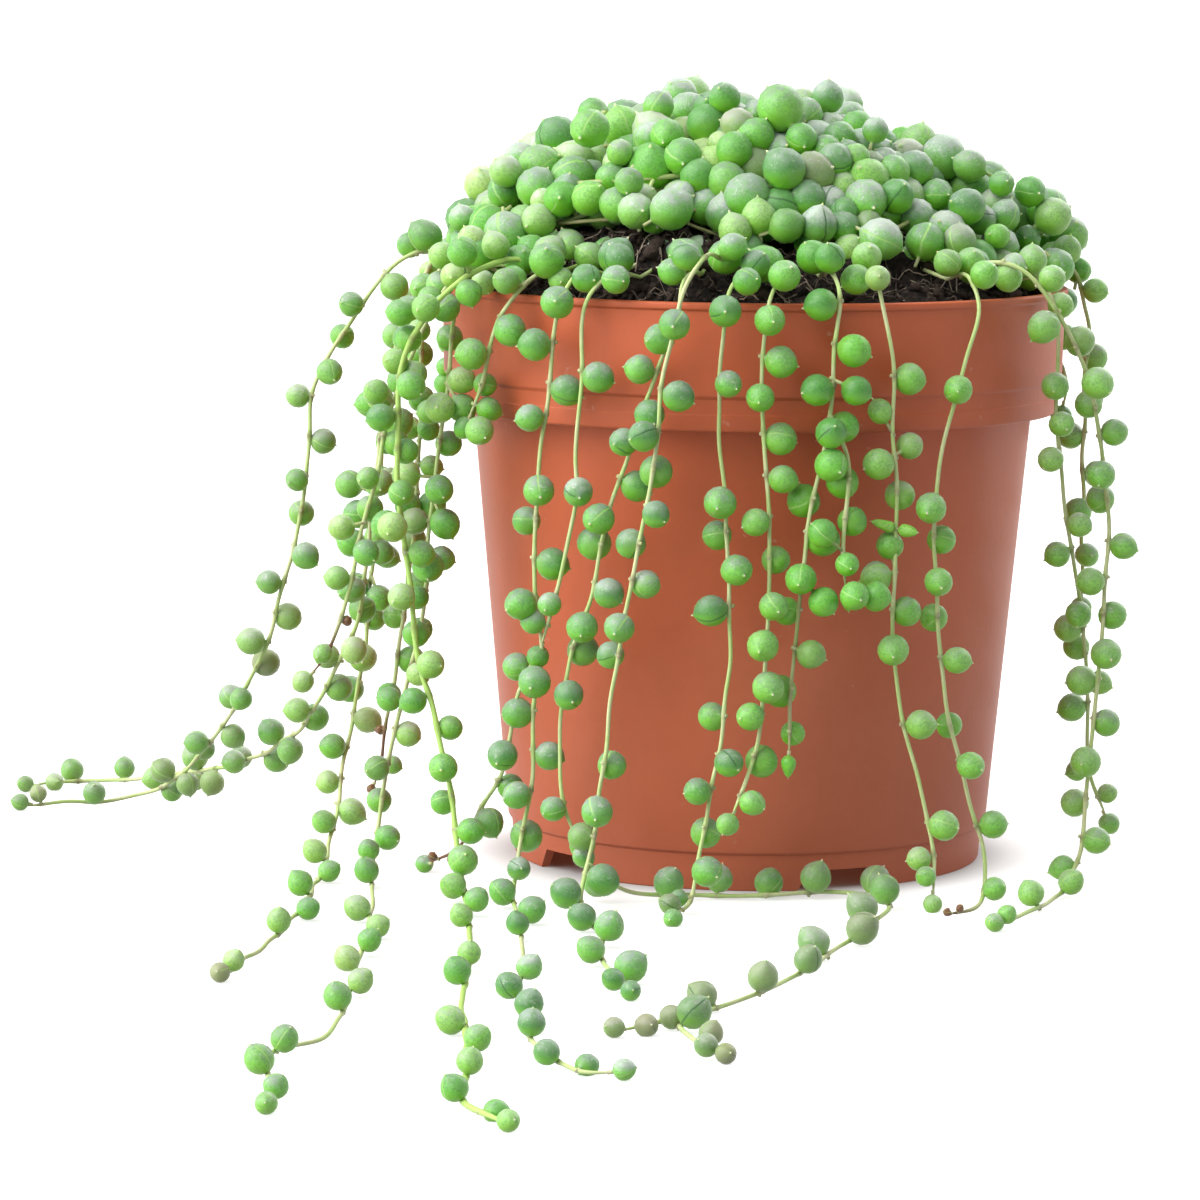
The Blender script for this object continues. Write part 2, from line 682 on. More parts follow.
def square_to(axis):
    """A direction square to an axis."""
    helper = np.array([0.0, 0.0, 1.0]) if abs(axis[2]) < 0.9 else np.array([1.0, 0.0, 0.0])
    return unit(np.cross(axis, helper))


def frame_along(axis, roll):
    """Three square directions: side, the axis itself, front."""
    side = square_to(axis)
    front = np.cross(side, axis)
    turned_side = side * math.cos(roll) + front * math.sin(roll)
    return np.stack([turned_side, axis, np.cross(turned_side, axis)])


def add_pearl(gathered, surface, pearl, rng, tone):
    """One pearl: stretched a little, faintly uneven, with its neck reaching back to the stem."""
    radius = pearl.radius
    ring = surface.sides
    neck = NECK_RINGS * ring
    shape = surface.points.copy()
    neck_end = -1 - pearl.neck_length / radius - NECK_SINK
    shape[:ring, 1] = neck_end
    shape[-2, 1] = neck_end
    shape[:neck, ::2] *= NECK_RADIUS / (NECK_WIDTH * radius)
    stretch = pearl.stretch + STRETCH_RANGE * rng.random()
    if pearl.on_floor:
        stretch += FLOOR_STRETCH
    lumps = np.zeros(len(shape))
    for _ in range(LUMP_WAVES):
        wave = rng.normal(size=3) * (LUMP_PITCH + SHRIVELLED_PITCH * pearl.shrivelled)
        lumps += np.sin(surface.points @ wave + rng.random() * FULL_PHASE)
    swollen = 1 + (LUMP_SIZE + SHRIVELLED_SIZE * pearl.shrivelled) * lumps
    shape[neck:] *= swollen[neck:, None]
    shape[shape[:, 1] > 0, 1] *= stretch
    pointed = (FLOOR_POINTED if pearl.on_floor else POINTED) + POINTED_RANGE * rng.random() ** 2
    taper = 1 - pointed * np.clip(shape[:, 1], 0, 1) ** 2
    shape[:, ::2] *= taper[:, None]
    axis = unit(pearl.direction)
    basis = frame_along(axis, rng.random() * 2 * math.pi)
    centre = pearl.neck + axis * (radius + pearl.neck_length)
    points = centre + (shape * radius) @ basis
    points[:, 2] = np.maximum(points[:, 2], LOWEST)
    gathered.add(points, surface.quads, surface.tris, surface.points, tone, PEARL_SKIN)


def add_tube(gathered, line, radii, sides, tones, skin):
    """A round tube along a line of points, closed at both ends."""
    headings = np.gradient(line, axis=0)
    headings /= np.linalg.norm(headings, axis=1)[:, None]
    side = square_to(headings[0])
    angles = np.arange(sides) * 2 * math.pi / sides
    cosines, sines = np.cos(angles)[:, None], np.sin(angles)[:, None]
    rings = []
    for point, heading, radius in zip(line, headings, radii):
        side = unit(side - heading * (side @ heading))
        rings.append(point + radius * (cosines * side + sines * np.cross(heading, side)))
    start = line[:1] - headings[:1] * radii[0]
    end = line[-1:] + headings[-1:] * radii[-1]
    points = np.concatenate([*rings, start, end])
    points[:, 2] = np.maximum(points[:, 2], LOWEST)
    count = len(line) * sides
    quads, tris = closed_faces(len(line), sides, count, count + 1)
    spread = np.concatenate([np.repeat(tones, sides, axis=0), tones[:1], tones[-1:]])
    gathered.add(points, quads[:, [0, 3, 2, 1]], tris[:, [0, 2, 1]], 0.0, spread, skin)


def evenly_along(points, step):
    """A line of points the same step apart."""
    along = lengths_along(points)
    count = max(2, int(along[-1] / step) + 1)
    wanted = np.linspace(0, along[-1], count)
    line = np.stack([np.interp(wanted, along, points[:, k]) for k in range(3)], axis=1)
    return line, wanted


def softened(line, times):
    """A line of points with its bends evened out."""
    soft = line.copy()
    for _ in range(times):
        soft[1:-1] = (soft[:-2] + soft[1:-1] + soft[2:]) / 3
    return soft


# How each strand looks. Of its pearls: how olive, dusty and light they are, how fresh at least, and
# the share left out of those that hang (thin) and that lie on the floor. It may be crowded by more
# pearls near the crown, end in a bud, and carry a young shoot at a height. Its stem may be bright,
# and dried from a share of its length on, where its pearls wither. A list has a value for each route.
NEVER = 2.0
PLAIN_LOOK = {
    "olive": 0.0, "dusty": 0.6, "light": 0.0, "fresh": 0.0, "thin": 0.0, "floor_thin": 0.15,
    "crowded": 0, "bud": False, "shoot": None, "bright": 0.0, "dried": NEVER, "withers": True,
}
LOOKS = {
    "strand_left_outer": {"olive": 0.4, "dusty": 1.0, "light": 0.5, "floor_thin": 0},
    "strand_left_sweep": {"olive": 0.3, "dusty": 1.0, "light": 0.75, "crowded": 5, "floor_thin": 0},
    "strand_left_dry_tip": {"dried": 0.86, "olive": 0.2, "dusty": 0.8, "light": 0.8, "crowded": 5},
    "strand_left_back": {"olive": 0.1, "dusty": 0.8, "light": 0.8, "crowded": 4},
    "strand_left_long": {"olive": 0.15, "dusty": 0.9, "light": 0.75, "crowded": 5},
    "strand_left_bright": {"bright": 1.0, "dusty": 0.7, "light": 0.6, "crowded": 5, "floor_thin": 0.2},
    "strand_left_inner": {"dried": 0.84, "dusty": 0.8, "light": 0.8, "crowded": 4},
    "strand_left_short": {"dusty": 0.8, "light": 0.5, "crowded": 4},
    "strand_front_left": {"dried": [NEVER, 0.62, NEVER], "dusty": 1.1, "thin": 0.25},
    "strand_front_pale": {"dusty": 1.1, "thin": 0.15},
    "strand_front_full": {"olive": [0.0, 0.5, 0.6], "dusty": 1.1, "thin": 0.25, "floor_thin": 0},
    "strand_middle_left": {"dusty": 0.9, "thin": 0.4},
    "strand_middle": {"dusty": 0.6, "fresh": 0.7, "light": 0.4, "thin": 0.1},
    "strand_middle_forked": {
        "dried": [0.66, 0.8], "withers": False, "dusty": 0.3, "fresh": 0.3, "bud": True, "crowded": 6,
    },
    "strand_front_right": {
        "dusty": 0.7, "shoot": 76, "fresh": 0.8, "light": 0.5, "thin": 0.3, "crowded": 4,
    },
    "strand_right_wavy": {"dried": 0.93, "dusty": 0.6, "fresh": 0.8, "light": 0.3, "thin": 0.4},
    "strand_right_outer": {"dusty": 0.8, "fresh": 0.9, "light": 0.4, "floor_thin": 0},
    "strand_right_inner": {"dusty": 0.8, "fresh": 0.9, "light": 0.5, "thin": 0.25},
    "strand_right_back": {"dusty": 0.8, "fresh": 0.9, "light": 0.4, "thin": 0.3},
}

# Only the pearls that the part hasn't can be left out, two of three
THIN_SCALE = 1.5
THIN_PEARL_SIZE = 0.94

# The stems: radius, step, side bends, and how they swell at a node and narrow towards the tip
STEM_LOOK_RADIUS = 0.42
STEM_SIDES = 8
STEM_STEP = 1.4
STEM_LOWEST = 0.62
SWAYS = 3
SWAY_SIZE = 0.10
SWAY_PITCH = (0.16, 0.42)
SWAY_FADE = 8
NODE_SWELL = 0.35
NODE_LENGTH = 1.1
NODE_STAIN = 0.7
NODE_STAIN_LENGTH = 0.5
NO_NODE = -50.0
TIP_WIDTH = 0.45
TIP_LENGTH = 12

# A stem's way out of the crown: how far behind its root and how much higher each point lies
LEAD_POINTS = ((16, 4.5), (10, 4.2), (4, 2.2))
LEAD_PEARLS = (-9.0, 6.0)
LEAD_SCATTER = 2.5
LEAD_RISE = 2.6
LEAD_RADIUS = 3.3
LEAD_SIZES = (0.85, 1.15)
LEAD_LEAN = 0.25

# More pearls near the crown: on which length of the stem, how often each is tried, its size and how
# far out it may stand
CROWDED_LENGTH = 80
CROWD_TRIES = 6
CROWD_SIZES = (0.8, 1.1)
CROWD_REACH = 3
CROWD_ROOM = 0.97

# The pearls at a stem's tip: their size, how far the last one sinks in, and the room one more needs
TIP_PEARL_SIZE = 0.85
TIP_END_SIZE = 0.9
TIP_SINK = 0.6
TIP_ROOM = 1.5
TIP_SIDE = [0.3, 0.2, 1.0]

# A young shoot's two leaves: direction, radius, stretch; and a bud: radius, stretch, paleness
SHOOT_LEAVES = (((-1, -0.35, 0.32), 1.15, 3.2), ((0.9, -0.5, -0.1), 1.3, 2.0))
BUD = (1.5, 1.9, 0.6)

# The dry end of a stem: share of its length to turn dry in, dryness with fresh pearls, narrowing;
# and of its pearls: how many are dried, and to which size
DRY_LENGTH = 0.06
DRY_FRESH = 0.4
DRY_NARROW = 0.25
DRIED_SHARE = 0.75
DRIED_SIZE = 0.42

# The tones of a strand's pearls: olive from a share at the crown to all of it at the tip, a few more
# by chance. Of olive and dusty a pearl has the first share, and up to the second more.
OLIVE_START = 0.3
STRAY_OLIVE = 0.3
STRAY_OLIVE_SHARE = 0.05
OLIVE_SHARES = (0.6, 0.8)
MOST_AGED = 0.8
OLD_YOUNG = 0.8
LIGHT_SPAN = (0.5, 1.1)
DUSTY_SHARES = (0.7, 0.5)


def lead_in(stem):
    """Where a stem comes from: out of the crown, just over the soil, to its root."""
    first = stem.fine[0]
    if reach_of(first) >= RIM_RADIUS:
        return None
    back = -outward_at(first)
    return np.array([first + back * inward + [0, 0, rise] for inward, rise in LEAD_POINTS])


def stem_line(stem, rng):
    """The stem's line with the slight bends that a real one has at its nodes."""
    line, along = evenly_along(stem.fine, STEM_STEP)
    lead = lead_in(stem)
    if lead is not None:
        rough, _ = evenly_along(np.concatenate([lead, line[2:3]]), STEM_STEP)
        rough = softened(rough, 4)
        before = -lengths_along(rough[::-1])[::-1][:-1] + along[2]
        line, along = np.concatenate([rough[:-1], line[2:]]), np.concatenate([before, along[2:]])
    sway = np.zeros_like(line)
    for _ in range(SWAYS):
        wave = rng.uniform(*SWAY_PITCH)
        sway += rng.normal(size=3) * SWAY_SIZE * np.sin(along[:, None] * wave + rng.random() * FULL_PHASE)
    fade = np.clip(along / SWAY_FADE, 0.1, 1)[:, None]
    line = line + sway * fade
    line[:, 2] = np.maximum(line[:, 2], STEM_LOWEST)
    return line, along


def add_lead_pearls(plan, rng):
    """Pearls over the soil, where a stem leaves the crown."""
    stem = plan["stem"]
    outward = outward_at(stem.fine[0])
    for place in LEAD_PEARLS:
        along = place + rng.uniform(-LEAD_SCATTER, LEAD_SCATTER)
        if along < 0:
            neck = stem.fine[0] - outward * -along + np.array([0, 0, LEAD_RISE])
        else:
            neck = stem.smooth_at(along)
        around = rng.normal(size=3) * 0.7
        direction = unit(np.array([around[0], around[1], 1.0]) + outward * LEAD_LEAN)
        radius = LEAD_RADIUS * rng.uniform(*LEAD_SIZES)
        plan["pearls"].append(Pearl(neck, direction, radius, max(0.0, along)))


def add_tip_pearls(plan, rng):
    """A pearl or two where a stem runs on past its last one."""
    stem = plan["stem"]
    length = stem.fine_along[-1]
    last = max([pearl.along for pearl in plan["pearls"]] + [0.0])
    on_floor = stem.fine[-1][2] < FLOOR_HEIGHT
    radius = (FLOOR_PEARL_RADIUS if on_floor else PEARL_RADIUS) * TIP_PEARL_SIZE
    heading = unit(stem.fine[-1] - stem.fine[-3])
    if length - last > 2 * radius + TIP_ROOM:
        middle = (length + last) / 2 + 0.5
        side = unit(np.cross(heading, TIP_SIDE)) * rng.choice([-1, 1])
        direction = unit(side + 0.4 * heading + np.array([0, 0, 0.35]))
        plan["pearls"].append(Pearl(stem.smooth_at(middle), direction, radius, middle, on_floor))
    neck = stem.fine[-1] - heading * TIP_SINK
    end = Pearl(neck, unit(heading + [0, 0, 0.25]), radius * TIP_END_SIZE, length, on_floor)
    if on_floor:
        end.neck = end.neck + np.array([0, 0, max(0.0, end.radius - end.neck[2] - TIP_SINK)])
    plan["pearls"].append(end)


def add_crowd(name, plan, count, occupied, rng):
    """More pearls where a strand leaves the crown, wherever there is still room for one."""
    owner = list(STRANDS).index(name)
    for _ in range(count):
        along = rng.uniform(2, CROWDED_LENGTH)
        neck = plan["stem"].smooth_at(along)
        outward = outward_at(neck)
        for _ in range(CROWD_TRIES):
            direction = unit(rng.normal(size=3) + 0.5 * outward)
            radius = PEARL_RADIUS * rng.uniform(*CROWD_SIZES)
            reach = radius + PEARL_NECK + rng.uniform(0, CROWD_REACH)
            centre = neck + direction * reach
            if occupied.is_free(owner, centre, radius * CROWD_ROOM):
                occupied.add_ball(owner, centre, radius)
                pearl = Pearl(neck, direction, radius, along)
                pearl.neck_length = reach - radius
                plan["pearls"].append(pearl)
                break


def add_shoot(plan, height):
    """A young side shoot: two narrow pale leaves where the stem passes a height."""
    stem = plan["stem"]
    passed = int(np.argmax((stem.fine[:, 2] < height) & (stem.fine_along > FIRST_PEARL)))
    for direction, radius, stretch in SHOOT_LEAVES:
        leaf = Pearl(stem.fine[passed], unit(np.array(direction)), radius, stem.fine_along[passed])
        leaf.stretch = stretch
        leaf.pale = 1.0
        plan["pearls"].append(leaf)


def add_more_pearls(name, plan, look, occupied, rng):
    """What a stem carries beside the pearls that follow from the part's rules."""
    add_tip_pearls(plan, rng)
    if look["bud"]:
        bud = plan["pearls"][-1]
        bud.radius, bud.stretch, bud.pale = BUD
    if not plan["is_branch"]:
        add_lead_pearls(plan, rng)
    add_crowd(name, plan, look["crowded"], occupied, rng)
    if look["shoot"]:
        add_shoot(plan, look["shoot"])


def thinned(pearls, thin, floor_thin, rng):
    """The pearls of a stem with a share left out, but never those that the part's solids have."""
    kept = []
    for pearl in pearls:
        share = floor_thin if pearl.on_floor else thin
        if pearl.is_solid or rng.random() > share * THIN_SCALE:
            pearl.radius *= THIN_PEARL_SIZE if thin > 0 and not pearl.on_floor else 1
            kept.append(pearl)
    return kept


def leaf_tone(pearl, share, dried_from, olive, look, rng):
    """How young, dusty and aged a pearl is at a share of its stem's length; a dried one shrinks."""
    is_old = share > dried_from
    is_dried = is_old and look["withers"] and rng.random() < DRIED_SHARE
    if is_dried:
        pearl.shrivelled = 1.0
        pearl.radius *= DRIED_SIZE
    olive = olive * (OLIVE_START + (1 - OLIVE_START) * share)
    olive += STRAY_OLIVE if rng.random() < STRAY_OLIVE_SHARE else 0
    age = 1.0 if is_dried else min(MOST_AGED, olive * drawn(OLIVE_SHARES, rng.random()))
    young = max(rng.random(), look["fresh"], pearl.pale, OLD_YOUNG if is_old else 0.0)
    young += look["light"] * rng.uniform(*LIGHT_SPAN)
    dusty = look["dusty"] * drawn(DUSTY_SHARES, rng.random()) * (1 - pearl.pale)
    return [young, dusty, age]


def of_route(value, k):
    """A look's value for one of the routes of a strand."""
    return value[k] if isinstance(value, list) else value


def add_strand(name, plans, occupied, pearl_shape, rng, skins):
    look = {**PLAIN_LOOK, **LOOKS.get(name, {})}
    gathered = Gathered()
    thickness = STRANDS[name].get("stem", STEM_RADIUS) / STEM_RADIUS * STEM_LOOK_RADIUS
    for k, plan in enumerate(plans):
        total = plan["stem"].fine_along[-1]
        dried_from = of_route(look["dried"], k)
        line, along = stem_line(plan["stem"], rng)
        plan["pearls"] = thinned(plan["pearls"], look["thin"], look["floor_thin"], rng)
        nodes = np.array([pearl.along for pearl in plan["pearls"]] + [NO_NODE])
        nearest = np.min(np.abs(along[:, None] - nodes[None, :]), axis=1)
        add_more_pearls(name, plan, look, occupied, rng)
        dryness = (along / total - dried_from) / DRY_LENGTH
        dried = np.clip(dryness, 0, 1 if look["withers"] else DRY_FRESH)
        radii = thickness * (1 + NODE_SWELL * np.exp(-((nearest / NODE_LENGTH) ** 2)))
        radii *= np.clip(TIP_WIDTH + (total - along) / TIP_LENGTH, TIP_WIDTH, 1)
        radii *= 1 - DRY_NARROW * dried
        at_node = np.exp(-((nearest / NODE_STAIN_LENGTH) ** 2)) * NODE_STAIN
        tones = np.stack([dried, at_node, np.full(len(along), look["bright"])], axis=1)
        add_tube(gathered, line, radii, STEM_SIDES, tones, STEM_SKIN)
        for pearl in plan["pearls"]:
            share = pearl.along / total
            tone = leaf_tone(pearl, share, dried_from, of_route(look["olive"], k), look, rng)
            add_pearl(gathered, pearl_shape, pearl, rng, tone)
    piece = gathered.make(name + "_fine", skins)
    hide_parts(name)


# The crown's pearls: how many near its outline and inside, the share of the outer ones left out, and
# their sizes. Levels run from 0 at the middle of the crown's foot to 1 on its outline; some of the
# outer pearls stand proud of the rest.
CROWN_OUTER = 400
CROWN_INNER = 210
CROWN_GAPS = 0.19
CROWN_PEARL_SIZES = [2.8, 3.5, 4.1, 4.7]
CROWN_PEARL_SHARES = [0.20, 0.32, 0.32, 0.16]
CROWN_SIZE_RANGE = (0.93, 1.07)
OUTER_LEVELS = (0.64, 0.86)
INNER_LEVELS = (0.42, 0.60)
PROUD_LEVELS = (0.90, 1.02)
PROUD_SHARE = 0.20
GOLDEN_ANGLE = 2.39996

# The dome they are spread over at first, and how they are then pushed apart
DOME_SIDE = 66
DOME_FRONT = 55
DOME_RISE = 39
DOME_SPAN = 0.98
PUSHES = 30
PUSH = 0.35
CLOSENESS = 0.93

# How high the crown's front edge lies over the soil, and how much higher on the right; and over the
# pot's rim, near which the crown no longer lies on the soil
CROWN_FRONT_LIFT = 5.0
CROWN_FRONT_EDGE = 0.8
CROWN_RIGHT_EDGE = 0.8
CROWN_RIGHT_WIDTH = 20
CROWN_RIM_LIFT = 0.8
CROWN_RIM_WIDTH = 4
CROWN_SEAT = 0.92

# The crown's outline: its dip right of the middle and its knoll on the left as [height, place,
# width], and the powers that round it off
CROWN_DIP = (7.5, 38, 17)
CROWN_KNOLL = (3, -50, 9)
RISE_POWER = 1.6
REACH_POWER = 2.6
LEVEL_POWER = 0.48
CROWN_MIDDLE = np.array([0.0, 0.0, CROWN_FOOT])

# Pearls in the crown: they lean out a little and never point inwards. Some are pale and young, some
# aged, and more of them are pale on the left.
CROWN_LEAN = 0.25
CROWN_TURN_OUT = 1.2
CROWN_LEAST_OUT = 0.05
CROWN_NECKS = (0.4, 1.6)
CROWN_DUSTY = (0.25, 1.3)
PALE_SHARE = 0.28
PALE_YOUNG = (0.8, 1.4)
GREEN_YOUNG = 0.75
AGED_SHARE = 0.18
AGED_MOST = 0.45
LEFT_YOUNG = 0.8
LEFT_FROM = 10
LEFT_WIDTH = 40

# The small stems among the crown's pearls, and its dark inside
CROWN_STEMS = 40
CROWN_STEM_TURN = 0.9
CROWN_STEM_REACH = (26, 60)
CROWN_STEM_RISE = 12
CROWN_STEM_LEVELS = (0.54, 0.74)
CROWN_STEM_SCATTER = (0.93, 1.07)
CROWN_STEM_STEP = 1.6
CROWN_STEM_RADII = (0.38, 0.62)
CROWN_STEM_SIDES = 7
CORE_LEVEL = 0.42
CORE_ROWS = 18
CORE_COLUMNS = 64
CORE_LIFT = 2


def crown_reach(point):
    """How far the crown reaches from the axis towards a point."""
    cosine = -point[1] / max(1e-6, reach_of(point))
    return oval_reach(cosine, CROWN_SIDE_REACH, CROWN_FRONT_REACH, CROWN_BACK_REACH)


def hump(x, height, middle, width):
    return height * math.exp(-(((x - middle) / width) ** 2))


def crown_rise(x):
    """Height of the crown over its foot, if it weren't rounded off: lower right of the middle."""
    return CROWN_RISE - hump(x, *CROWN_DIP) + hump(x, *CROWN_KNOLL)


def crown_level(point):
    """0 at the middle of the crown's foot, 1 on its outline."""
    share = reach_of(point) / crown_reach(point)
    height = max(0.0, (point[2] - CROWN_FOOT) / crown_rise(point[0]))
    return height**RISE_POWER + share**REACH_POWER


def to_level(point, level):
    """The point moved in or out from the middle of the crown's foot until it is at a level."""
    ray = point - CROWN_MIDDLE
    for _ in range(4):
        now = max(1e-4, crown_level(CROWN_MIDDLE + ray))
        ray = ray * (level / now) ** LEVEL_POWER
    return CROWN_MIDDLE + ray


def dome_point(azimuth, flat, height, level):
    """The crown's point at a level, in the direction of a point of a unit dome."""
    side, front = flat * math.sin(azimuth) * DOME_SIDE, -flat * math.cos(azimuth) * DOME_FRONT
    return to_level(CROWN_MIDDLE + np.array([side, front, height * DOME_RISE]), level)


def crown_outward(point):
    """The way out of the crown at a point, square to its outline."""
    step = 0.5
    here = crown_level(point)
    slope = np.array([crown_level(point + step * e) - here for e in np.eye(3)])
    return unit(slope + np.array([0, 0, 1e-6]))


def lowest_place(place, radius, lift):
    """The height at which a pearl of the crown lies on the soil, lifted at the crown's front."""
    reach = reach_of(place)
    frontness = max(0.0, -place[1] / max(1.0, reach))
    rightness = within_one(place[0] / CROWN_RIGHT_WIDTH)
    is_inside = reach < RIM_RADIUS - CROWN_RIM_WIDTH
    under = heaped_height(place) if is_inside else POT_HEIGHT + CROWN_RIM_LIFT
    lift = (CROWN_FRONT_EDGE + CROWN_RIGHT_EDGE * rightness + lift) * frontness
    return under + lift + radius * CROWN_SEAT


def crown_places(rng):
    """Centres and radii of the crown's pearls: spread over its dome, then pushed apart."""
    count = CROWN_OUTER + CROWN_INNER
    centres, levels, radii = [], [], []
    for k in range(count):
        is_outer = k < CROWN_OUTER
        n = CROWN_OUTER if is_outer else CROWN_INNER
        i = k if is_outer else k - CROWN_OUTER
        height = 1 - (i + 0.5) / n * DOME_SPAN
        azimuth = i * GOLDEN_ANGLE + (0.0 if is_outer else 1.0)
        radius = rng.choice(CROWN_PEARL_SIZES, p=CROWN_PEARL_SHARES) * rng.uniform(*CROWN_SIZE_RANGE)
        level = rng.uniform(*(OUTER_LEVELS if is_outer else INNER_LEVELS))
        if is_outer and rng.random() < PROUD_SHARE:
            level = rng.uniform(*PROUD_LEVELS)
        levels.append(level)
        radii.append(radius)
        centres.append(dome_point(azimuth, math.sqrt(1 - height * height), height, level))
    centres, radii = np.array(centres), np.array(radii)
    lifts = CROWN_FRONT_LIFT * rng.random(count)
    for _ in range(PUSHES):
        apart = centres[:, None, :] - centres[None, :, :]
        distance = np.linalg.norm(apart, axis=2) + np.eye(count) * 1e3
        wanted = (radii[:, None] + radii[None, :]) * CLOSENESS
        push = np.clip(wanted - distance, 0, None) / distance
        centres = centres + PUSH * np.sum(apart * push[:, :, None], axis=1)
        for k in range(count):
            centres[k] = to_level(centres[k], levels[k])
            centres[k][2] = max(centres[k][2], lowest_place(centres[k], radii[k], lifts[k]))
    kept = (rng.random(count) > CROWN_GAPS) | (np.arange(count) >= CROWN_OUTER)
    return centres[kept], radii[kept]


def add_crown_pearls(pearl_shape, rng, skins):
    centres, radii = crown_places(rng)
    gathered = Gathered()
    for centre, radius in zip(centres, radii):
        outward = crown_outward(centre)
        axis = unit(outward * CROWN_LEAN + rng.normal(size=3))
        inward = min(0.0, float(axis @ outward) - CROWN_LEAST_OUT)
        axis = unit(axis - CROWN_TURN_OUT * inward * outward)
        pearl = Pearl(centre, axis, radius)
        pearl.neck_length = rng.uniform(*CROWN_NECKS)
        pearl.neck = centre - axis * (radius + pearl.neck_length)
        is_pale = rng.random() < PALE_SHARE
        young = rng.uniform(*PALE_YOUNG) if is_pale else rng.random() * GREEN_YOUNG
        age = AGED_MOST * rng.random() if rng.random() < AGED_SHARE else 0.0
        young += LEFT_YOUNG * rng.random() * within_one((LEFT_FROM - centre[0]) / LEFT_WIDTH)
        dusty = drawn(CROWN_DUSTY, rng.random())
        add_pearl(gathered, pearl_shape, pearl, rng, [young, dusty, age])
    piece = gathered.make("crown_pearls", skins)
    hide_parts("crown")


def add_crown_stems(rng, skins):
    """Small stems that curl inwards among the crown's pearls."""
    gathered = Gathered()
    for _ in range(CROWN_STEMS):
        start = rng.uniform(0, 2 * math.pi)
        turn = rng.normal() * CROWN_STEM_TURN
        reach = rng.uniform(*CROWN_STEM_REACH)
        level = rng.uniform(*CROWN_STEM_LEVELS)
        points = []
        for t in np.linspace(0, 1, 9):
            rough = about_axis(start + turn * t, reach * (1 - 0.75 * t), CROWN_FOOT + CROWN_STEM_RISE)
            points.append(to_level(rough, level * rng.uniform(*CROWN_STEM_SCATTER)))
        line = softened(evenly_along(np.array(points), CROWN_STEM_STEP)[0], 3)
        radii = np.full(len(line), rng.uniform(*CROWN_STEM_RADII))
        tones = np.tile([0.55 * rng.random() ** 2, 0.5 * rng.random(), 0.0], (len(line), 1))
        add_tube(gathered, line, radii, CROWN_STEM_SIDES, tones, STEM_SKIN)
    piece = gathered.make("crown_stems", skins)
    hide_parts("crown")


def add_core(skin):
    """The dark inside of the crown, which shows only in the gaps between the pearls."""
    bottom = SOIL_EDGE_HEIGHT + CORE_LIFT
    points = [to_level(np.array([0.0, 0.0, CROWN_FOOT + CROWN_RISE]), CORE_LEVEL)]
    for i in range(1, CORE_ROWS + 1):
        slope = i / CORE_ROWS * math.pi / 2
        for j in range(CORE_COLUMNS):
            azimuth = j * 2 * math.pi / CORE_COLUMNS
            point = dome_point(azimuth, math.sin(slope), math.cos(slope), CORE_LEVEL)
            point[2] = max(point[2], bottom)
            points.append(point)
    points.append(np.array([0.0, 0.0, bottom]))
    quads, tris = closed_faces(CORE_ROWS, CORE_COLUMNS, 0, len(points) - 1, first=1)
    gathered = Gathered()
    gathered.add(np.array(points), quads, tris, 0.0, 0.0, ONLY_SKIN)
    piece = gathered.make("crown_heart", [skin])
    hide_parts("crown")


# Finer forms of the pot: the line round its collar, its sharpest smooth edge, and how far the shapes
# that cut its notches and drain holes reach past it
COLLAR_LINE = 97
SMOOTH_EDGE = 38
NOTCH_FLARE = 0.8
NOTCH_PAST = 4
CUT_PAST = 1
DRAIN_SIDES = 24


def rounded(profile):
    """A profile of [radius, height, rounding] corners with each corner turned into a short arc."""
    points = []
    count = len(profile)
    for i, (r, z, rounding) in enumerate(profile):
        here = np.array([r, z])
        if rounding == 0 or i in (0, count - 1):
            points.append(here)
            continue
        before = np.array(profile[i - 1][:2]) - here
        after = np.array(profile[i + 1][:2]) - here
        cut = min(rounding, 0.45 * np.linalg.norm(before), 0.45 * np.linalg.norm(after))
        start, end = here + unit(before) * cut, here + unit(after) * cut
        for t in (0, 0.25, 0.5, 0.75, 1):
            points.append((1 - t) ** 2 * start + 2 * t * (1 - t) * here + t * t * end)
    return points


def closed_mesh(name, points, faces):
    """A closed mesh with its faces turned outwards."""
    mesh = bpy.data.meshes.new(name)
    mesh.from_pydata([tuple(point * MM) for point in points], [], faces)
    shape = bmesh.new()
    shape.from_mesh(mesh)
    bmesh.ops.recalc_face_normals(shape, faces=shape.faces)
    shape.to_mesh(mesh)
    shape.free()
    return mesh


